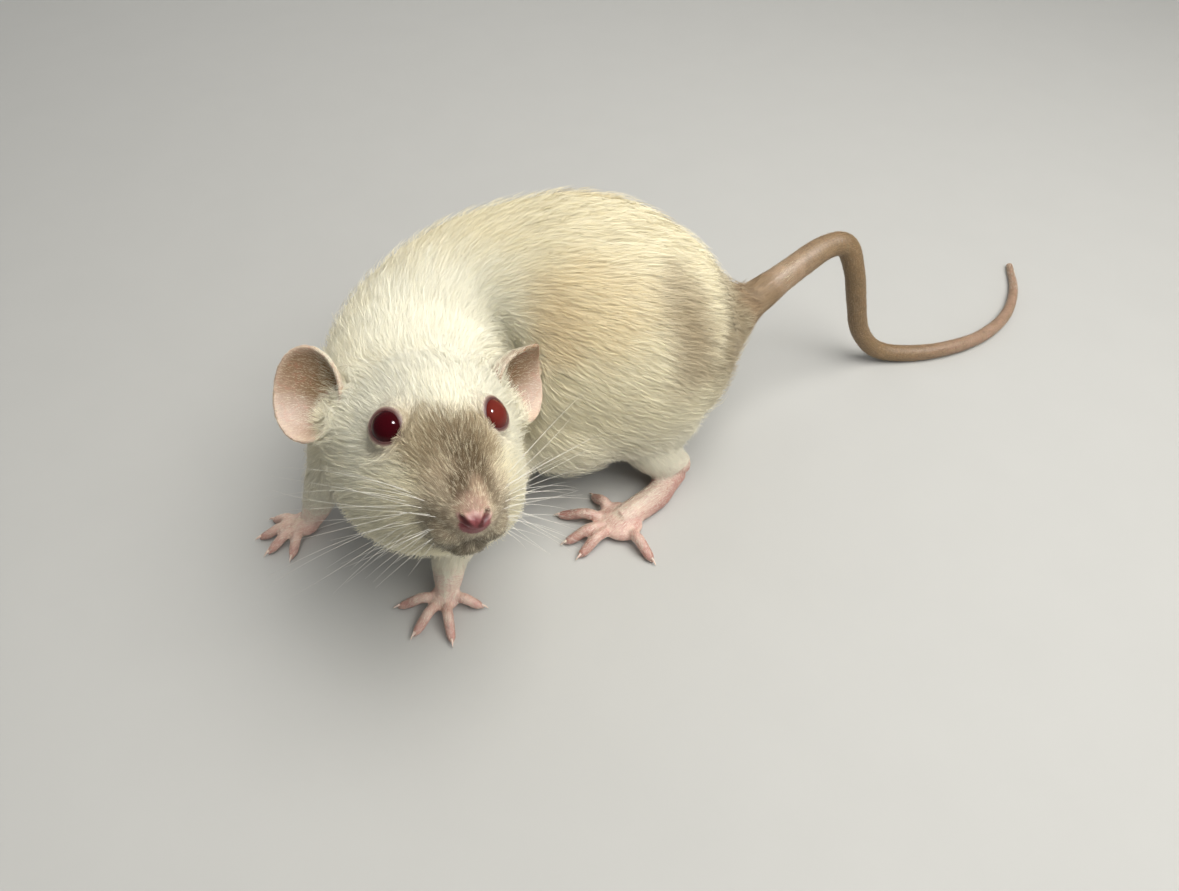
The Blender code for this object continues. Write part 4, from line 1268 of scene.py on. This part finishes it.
extra = tailRoots()
onSkin = (roots, rootNormals, rootFlow, rootLength, rootWidth, rootLift)
joined = [np.concatenate(pair) for pair in zip(onSkin, extra)]
roots, rootNormals, rootFlow, rootLength, rootWidth, rootLift = joined
rootKind = np.concatenate([rootKind, np.full(len(extra[0]), "tail")])
rootName = np.concatenate([rootName, np.full(len(extra[0]), "tail")])
report(f"{len(roots)} tufts rooted")


def findClumps():
    # The leading tuft of the clump that each tuft belongs to
    leaders = rng.permutation(len(roots))[:len(roots) // coatPlan["inClump"]]
    tree = KDTree(len(leaders))
    for n in leaders.tolist():
        tree.insert(roots[n], n)
    tree.balance()
    return np.array([tree.find(spot)[1] for spot in roots.tolist()])


def layTufts():
    # Root, middle and tip of each tuft, laid back on the skin and lifted by the coat's depth, and the way
    # that the skin faces at its middle and tip
    count = len(roots)
    side = np.cross(rootNormals, rootFlow)
    onFace = (rootKind == "head") * (1 - ramp(toHead(roots)[:, 1], *coatPlan["faceTo"]))
    drift = waviness(roots, 3.0, 11) * 0.06 + waviness(roots, 9.0, 12) * 0.10
    swing = drift + rng.normal(0, 1, count) * coatPlan["swing"]
    way = unit(rootFlow * np.cos(swing)[:, None] + side * np.sin(swing)[:, None])
    onLeg = np.isin(rootKind, ("foreleg", "hind_leg"))
    onBody, onLegs, longest = coatPlan["reach"]
    reach = rootLength * rng.uniform(np.where(onLeg, onLegs, onBody), longest, count)
    waves = 1 + 0.07 * waviness(roots, 2.4, 13) + 0.10 * waviness(roots, 7.0, 14)
    lift = np.clip(rootLift, 0.1, None) * waves
    stray = rng.random(count) < coatPlan["stray"]
    lift *= 1 + 0.4 * onFace * rng.normal(0, 1, count).clip(-1, 1.8)
    lift *= np.where(stray, rng.uniform(*coatPlan["standOut"], count), rng.uniform(*coatPlan["lie"], count))
    surface = field.points.tolist() + tailPoints.tolist()
    corners = np.vstack([skinCorners, triangles(tail.data) + field.count])
    tree = BVHTree.FromPolygons(surface, corners.tolist())
    facings = unit(np.vstack([skinNormals, tailNormals])[corners].mean(1))
    spots, faces = np.empty((2, count, 3)), np.empty((2, count), int)
    find = tree.find_nearest
    for k, share in enumerate((coatPlan["bend"], 1.0)):
        aims = roots + way * (reach * share)[:, None]
        aims += (aims[clumpOf] - aims) * (coatPlan["pull"][k] * calm)[:, None]
        for n, aim in enumerate(aims.tolist()):
            spots[k, n], _, faces[k, n], _ = find(aim)
    middleFacing, tipFacing = facings[faces[0]], facings[faces[1]]
    middleHigh, tipHigh = coatPlan["high"]
    middle = spots[0] + middleFacing * (lift * middleHigh)[:, None]
    tip = spots[1] + tipFacing * (lift * tipHigh)[:, None]
    return roots - rootNormals * coatPlan["sink"], middle, tip, middleFacing, tipFacing


def coatMesh(name, some, patches):
    # Each tuft is a narrow blade of two faces that bends down onto the coat
    base, middle, tip = tuftBase[some], tuftMiddle[some], tuftTip[some]
    count = len(base)
    run = unit(tip - base)
    across = unit(np.cross(run, middleFacing[some]))
    top = np.cross(across, run)
    roll = rng.normal(0, coatPlan["roll"], count)[:, None]
    across, top = across * np.cos(roll) + top * np.sin(roll), top * np.cos(roll) - across * np.sin(roll)
    half = (rootWidth[some] / 2)[:, None]
    points = np.stack([base, middle + across * half, tip, middle - across * half], 1)
    points[..., 2] = np.maximum(points[..., 2], coatPlan["lowest"])
    corners = np.array([(0, 1, 3), (1, 2, 3)])
    patchAt = np.array([(0.45, 0.0), (0.0, 0.5), (0.55, 1.0), (1.0, 0.42)]) - 0.5
    faces = (np.arange(count)[:, None, None] * 4 + corners[None]).reshape(-1)
    mesh = bpy.data.meshes.new(name)
    mesh.vertices.add(count * 4)
    mesh.vertices.foreach_set("co", toMetres(points.reshape(-1, 3)).ravel())
    mesh.loops.add(len(faces))
    mesh.loops.foreach_set("vertex_index", faces.astype(np.int32))
    mesh.polygons.add(count * 2)
    mesh.polygons.foreach_set("loop_start", np.arange(0, len(faces), 3, dtype=np.int32))
    mesh.update(calc_edges=True)
    mesh.shade_smooth()
    bake = mesh.uv_layers.new(name="OFBake")
    spots = (patches[:, None] + patchAt[None] * coatPlan["patch"]).reshape(-1, 2)
    bake.data.foreach_set("uv", spots[faces].ravel().astype(np.float32))
    # shaded like the skin below, with a soft roundness, so that the coat looks even
    # a tuft that stands up keeps its own shading
    skinward = np.stack([rootNormals[some], middleFacing[some], tipFacing[some], middleFacing[some]], 1)
    level = np.clip((skinward * top[:, None]).sum(2, keepdims=True), 0, 1) ** 2
    bulge = coatPlan["bulge"] * np.array([0, 1, 0, -1])[None, :, None] * across[:, None]
    facing = unit(skinward * 0.8 * level + top[:, None] * (1 - 0.75 * level) + bulge)
    mesh.normals_split_custom_set_from_vertices(facing.reshape(-1, 3))
    attribute(mesh, "strand", np.repeat(strandShade[some], 4))
    attribute(mesh, "reach", np.tile([0.0, 0.5, 1.0, 0.5], count))
    place = mesh.attributes.new("place", "FLOAT_VECTOR", "POINT")
    place.data.foreach_set("vector", np.repeat(middle, 4, axis=0).astype(np.float32).ravel())
    made = shownObject(name, mesh)
    mesh.materials.append(furLook)
    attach(made, "root")
    return made


coatLook = {
    "rootShadeToTip": (0.92, 1.02),  # painted shade at the root, down among the other tufts, and the tone at the tip
    "strandSpread": (0.88, 1.06),
    "roughness": 0.62,
    "sheen": 0.12,
}


def coatMaterial():
    made, tree, shader = newMaterial("rat coat")
    strand = tree.carried("strand")
    place = tree.carried("place", "Vector")
    colour = tree.node("ShaderNodeGroup", {"node_tree": peltColour}, i0=place, i1=strand).outputs[0]
    for value, spread in ((strand, coatLook["strandSpread"]), (tree.carried("reach"), coatLook["rootShadeToTip"])):
        colour = tree.mix(1.0, colour, tree.between(value, 0.0, 1.0, spread, False), "MULTIPLY")
    settings(tree, shader, colour, Roughness=coatLook["roughness"], Sheen_Weight=coatLook["sheen"],
             Sheen_Roughness=0.4, Specular_IOR_Level=0.3)
    return made


furLook = coatMaterial()


def unwrapped(points, path, piece=(0.0, 1.0)):
    # Place on the skin as how far along the path and which way round it
    station, spots, way = alongPath(points, path)
    across = unit(np.cross(way, (0.13, 0.2, 0.97)))
    up = np.cross(across, way)
    away = points - spots
    turn = np.arctan2((away * across).sum(1), (away * up).sum(1)) / (2 * math.pi) + 0.5
    return station, piece[0] + (piece[1] - piece[0]) * turn


def coatPieces():
    # The coat in pieces small enough to hand on, each along its own part of the body
    made = []
    onHead = np.isin(rootKind, ("head", "ear"))
    onTrunk = np.isin(rootKind, ("neck", "chest", "torso", "rump"))
    onTail = rootKind == "tail"
    headPath = fromHead([(0, -1, -2), (0, 50, -3)])
    station, turn = np.zeros(len(roots)), np.zeros(len(roots))
    station[onHead], turn[onHead] = unwrapped(roots[onHead], headPath)
    station[onTrunk], turn[onTrunk] = unwrapped(roots[onTrunk], smoothPath(paths["spine"], 3))
    station[onTail], turn[onTail] = unwrapped(roots[onTail], tailLine)
    for k, (limb, foot) in enumerate(zip(limbs, feet)):
        some = (rootName == limb) | (rootName == foot)
        way = smoothPath(paths[limb] + [tuple(np.array(paths[limb][-1]) + (-14, -12, -2))], 4)
        station[some], turn[some] = unwrapped(roots[some], way, (0.25 * k, 0.25 * k + 0.245))
    groups = {"head": onHead, "trunk": onTrunk, "tail": onTail, "legs": ~(onHead | onTrunk | onTail)}
    for group, some in groups.items():
        rows = np.nonzero(some)[0]
        rows = rows[np.argsort(station[rows], kind="stable")]
        parts = max(1, math.ceil(len(rows) / coatPlan["mostInPiece"]))
        for k, part in enumerate(np.array_split(rows, parts)):
            low, high = station[part].min(), station[part].max()
            v = (station[part] - low) / max(high - low, 1e-6) * 0.99 + 0.005
            patches = np.stack([turn[part] * 0.99 + 0.005, v], 1)
            made.append(coatMesh(f"coat_{group}_{k + 1}", part, patches))
    return made


clumpOf = findClumps()
strandShade = 0.62 * rng.random(len(roots)) + 0.38 * rng.random(len(roots))[clumpOf]
strandShade = (strandShade.argsort().argsort() + 0.5) / len(roots)
calm = 1 - (1 - coatPlan["bodyCalm"]) * ramp(toHead(roots)[:, 1], *coatPlan["calmFrom"])
strandShade = 0.5 + (strandShade - 0.5) * calm
tuftBase, tuftMiddle, tuftTip, middleFacing, tipFacing = layTufts()
report("tufts laid")
coats = coatPieces()
report(f"{len(coats)} coat pieces, {sum(len(c.data.polygons) for c in coats)} faces")

# Eyes

eyePlan = {
    # darkest middle and brighter edge; the left eye's colours are painted lighter for the light it catches
    "right": ((0.034, 0.001, 0.003), (0.030, 0.004, 0.005)),
    "left": ((0.135, 0.020, 0.014), (0.075, 0.010, 0.009)),
    "turn": (68, 26),  # degrees from the eye's middle to where the edge's colour ends and the deep one begins
    "mottle": 0.12,
}


def eyeMaterial(side):
    made, tree, shader = newMaterial(f"eye {side}")
    place = bodyPlace(tree)
    away = tree.vector("NORMALIZE", tree.vector("SUBTRACT", place, tuple(eyeCentres[side])))
    facing = tree.vector("DOT_PRODUCT", away, tuple(eyeWays[side]))
    mottle = tree.math("SUBTRACT", tree.noise(place, 0.9, 2.0), 0.5)
    mottle = tree.math("MULTIPLY", mottle, eyePlan["mottle"])
    begin, end = (math.cos(math.radians(a)) for a in eyePlan["turn"])
    share = tree.between(tree.math("ADD", facing, mottle), begin, end)
    deep, edge = eyePlan[side]
    settings(tree, shader, tree.mix(share, edge, deep), Roughness=0.05, IOR=1.38, Specular_IOR_Level=0.22)
    return made


for side, sign in sides.items():
    points, faces = ballPoints(eyeCentres[side], head["eyeRadius"], 40)
    eyeball = meshObject(f"eyeball_{side}", toMetres(points), faces)
    shape = bmesh.new()
    shape.from_mesh(eyeball.data)
    bmesh.ops.remove_doubles(shape, verts=shape.verts, dist=1e-7)
    shape.to_mesh(eyeball.data)
    shape.free()
    eyeball.data.shade_smooth()
    eyeball.data.materials.append(eyeMaterial(side))
    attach(eyeball, "root")
    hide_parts(f"eye_{side}")
report("eyes")

# Whiskers

whiskerPlan = {
    "rows": 5,
    "columns": 6,
    "longest": 31,
    "shortest": 8,
    "thick": 0.042,
    "steps": 11,
    "sink": 0.2,
    "lowest": 0.4,
    "droop": 0.40,
    "sweep": 0.36,
    # of the front row's foot on the whisker pad: how far out, back and up, and the steps between rows
    "pad": (9.5, 10.6, 1.6),
    "columnStep": (-0.55, -1.45, -0.12),
    "rowStep": (0.0, 0.35, -1.75),
    "inTopRow": 4,
    # how far back and up the first one points for one out, how much less each next one does, and the play
    "back": (0.62, 0.11, 0.1),
    "up": (0.50, 0.33, 0.12),
    "footPlay": 0.2,
    "lengthPlay": (0.8, 1.12),
    "endRows": 0.85,  # share of the length in the top and the bottom row
    "loosePlay": (0.85, 1.1),
    "droopPlay": 0.09,
    "colour": (0.80, 0.77, 0.70),
    # root and way of the loose ones on brow and cheek, in the head's own left, back and up, and the length
    "loose": [((5.0, 24.0, 13.5), (0.3, 0.85, 0.7), 15), ((6.6, 28.0, 14.0), (0.5, 0.8, 0.6), 13),
              ((12.0, 20.0, -6.0), (1.0, 0.5, -0.3), 14), ((11.0, 16.0, -9.0), (0.9, 0.3, -0.7), 12)],
}


def whiskers():
    rng = np.random.default_rng(21)
    tree = BVHTree.FromPolygons(field.points.tolist(), skinCorners.tolist())
    starts, ways, lengths = [], [], []
    pad, columnStep, rowStep = (np.array(whiskerPlan[key]) for key in ("pad", "columnStep", "rowStep"))
    for sign in sides.values():
        for row in range(whiskerPlan["rows"]):
            for column in range(whiskerPlan["columns"]):
                if row == 0 and column >= whiskerPlan["inTopRow"]:
                    continue
                play = (0, *rng.normal(0, whiskerPlan["footPlay"], 2))
                starts.append((pad + columnStep * column + rowStep * row + play) * (sign, 1, 1))
                back, up = (
                    first - less * step + rng.normal(0, play)
                    for (first, less, play), step in ((whiskerPlan["back"], column), (whiskerPlan["up"], row))
                )
                ways.append(np.array((1.0, back, up)) * (sign, 1, 1))
                share = (column / (whiskerPlan["columns"] - 1)) ** 0.9
                full = whiskerPlan["longest"] * (1 - share) + whiskerPlan["shortest"] * share
                atEnd = row in (0, whiskerPlan["rows"] - 1)
                lengths.append(full * rng.uniform(*whiskerPlan["lengthPlay"])
                               * (whiskerPlan["endRows"] if atEnd else 1))
        for root, out, size in whiskerPlan["loose"]:
            starts.append(np.array(root) * (sign, 1, 1))
            ways.append(np.array(out) * (sign, 1, 1))
            lengths.append(size * rng.uniform(*whiskerPlan["loosePlay"]))
    points, faces = [], []
    steps = whiskerPlan["steps"]
    for start, way, size in zip(starts, ways, lengths):
        root, normal, _, _ = tree.find_nearest(fromHead(start).tolist())
        root = np.array(root) - whiskerPlan["sink"] * np.array(normal)
        way = unit(way @ headAxes)
        droop = np.array([0, 0, -whiskerPlan["droop"]]) + headBack * whiskerPlan["sweep"]
        droop += rng.normal(0, whiskerPlan["droopPlay"], 3)
        line = []
        for k in range(steps + 1):
            t = k / steps
            spot = root + way * size * t + droop * size * t * t * 0.75
            spot[2] = max(spot[2], whiskerPlan["lowest"])
            line.append(spot)
        line = np.array(line)
        _, frames = ringFrames(line)
        shift = len(points)
        for k, (spot, (across, up)) in enumerate(zip(line, frames)):
            thick = whiskerPlan["thick"] * (1 - k / steps) ** 0.8 + 0.01
            for j in range(4):
                turn = math.pi * j / 2
                points.append(spot + (across * math.cos(turn) + up * math.sin(turn)) * thick)
        faces.extend(bandFaces(steps + 1, 4, shift))
        faces.append([shift + 3, shift + 2, shift + 1, shift])
        faces.append([shift + 4 * steps + j for j in range(4)])
    made = meshObject("whiskers", toMetres(points), faces)
    bake = made.data.uv_layers.new(name="OFBake")
    perHair = 4 * (steps + 1)
    for loop in made.data.loops:
        hair, place = divmod(loop.vertex_index, perHair)
        level, corner = divmod(place, 4)
        bake.data[loop.index].uv = ((hair + 0.2 + 0.15 * corner) / len(starts), 0.01 + 0.97 * level / steps)
    look, tree, shader = newMaterial("whisker")
    along = tree.noise(bodyPlace(tree), 0.6, 2.0)
    darker = tuple(0.9 * c for c in whiskerPlan["colour"])
    settings(tree, shader, tree.mix(along, whiskerPlan["colour"], darker), Roughness=0.35)
    made.data.materials.append(look)
    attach(made, "root")


whiskers()

clawLook, clawTree, clawShader = newMaterial("claw")
clawNoise = clawTree.noise(bodyPlace(clawTree), 1.4, 2.0)
clawColour = clawTree.mix(clawNoise, footPlan["clawColour"], footPlan["clawTip"])
settings(clawTree, clawShader, clawColour, Roughness=0.3, Subsurface_Weight=0.1, Subsurface_Scale=0.0006)
for foot in feet:
    claws = clawPiece(foot)
    claws.data.materials.append(clawLook)
    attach(claws, "root")
report("whiskers and claws")

# Floor, light and camera

stagePlan = {
    "floor": (0.47, 0.47, 0.456),
    "camera": (0, -150, 165.5),
    "down": 48,
    "lens": 27.05,
    "sensor": 36,
    "half": 4,  # of the floor's side, in metres
    "aim": (0, 0, 25),
    # place, power, width and tint of each lamp
    "key": ((175, -80, 480), 3.5, 0.5, (1.0, 0.97, 0.91)),
    "fill": ((330, -380, 200), 1.1, 0.8, (0.97, 0.98, 1.0)),
    "rear": ((-160, 380, 380), 0.8, 0.7, (1.0, 0.98, 0.95)),
    "glint": ((184, -100, 515), 4.5, 0.12, (1.0, 1.0, 1.0)),
    "sky": (0.88, 0.91, 0.92, 0.2),
}


def buildStage():
    half = stagePlan["half"]
    corners = [(-half, -half, 0), (half, -half, 0), (half, half, 0), (-half, half, 0)]
    floor = meshObject("floor", corners, [[0, 1, 2, 3]], False)
    made, tree, shader = newMaterial("pale floor")
    grain = tree.noise(tree.node("ShaderNodeTexCoord").outputs["Object"], 60.0, 4.0)
    shade = tree.mix(grain, stagePlan["floor"], tuple(c * 0.96 for c in stagePlan["floor"]))
    settings(tree, shader, shade, Roughness=0.9)
    floor.data.materials.append(made)
    for name in ("key", "fill", "rear", "glint"):
        place, power, size, tint = stagePlan[name]
        lamp = bpy.data.lights.new(name, "AREA")
        lamp.shape = "DISK"
        lamp.energy, lamp.size, lamp.color = power, size, tint
        light = shownObject(name, lamp)
        light.location = Vector(toMetres(place))
        aim = Vector(toMetres(stagePlan["aim"])) - light.location
        light.rotation_euler = aim.to_track_quat("-Z", "Y").to_euler()
        light.visible_glossy = name == "glint"
        light.visible_diffuse = name != "glint"
    world = bpy.data.worlds.new("room")
    world.use_nodes = True
    *tint, strength = stagePlan["sky"]
    world.node_tree.nodes["Background"].inputs[0].default_value = (*tint, 1)
    world.node_tree.nodes["Background"].inputs[1].default_value = strength
    bpy.context.scene.world = world
    camera = shownObject("camera", bpy.data.cameras.new("camera"))
    camera.data.lens = stagePlan["lens"]
    camera.data.sensor_width = stagePlan["sensor"]
    camera.location = Vector(toMetres(stagePlan["camera"]))
    camera.rotation_euler = (math.radians(90 - stagePlan["down"]), 0, 0)
    camera.data.clip_start = 0.005
    bpy.context.scene.view_settings.view_transform = "Standard"
    bpy.context.scene.camera = camera


buildStage()
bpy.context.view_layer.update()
shown = [o for o in bpy.context.scene.objects if o.type == "MESH" and not o.hide_render]
report(f"all built, {sum(len(p.vertices) - 2 for o in shown for p in o.data.polygons)} triangles")
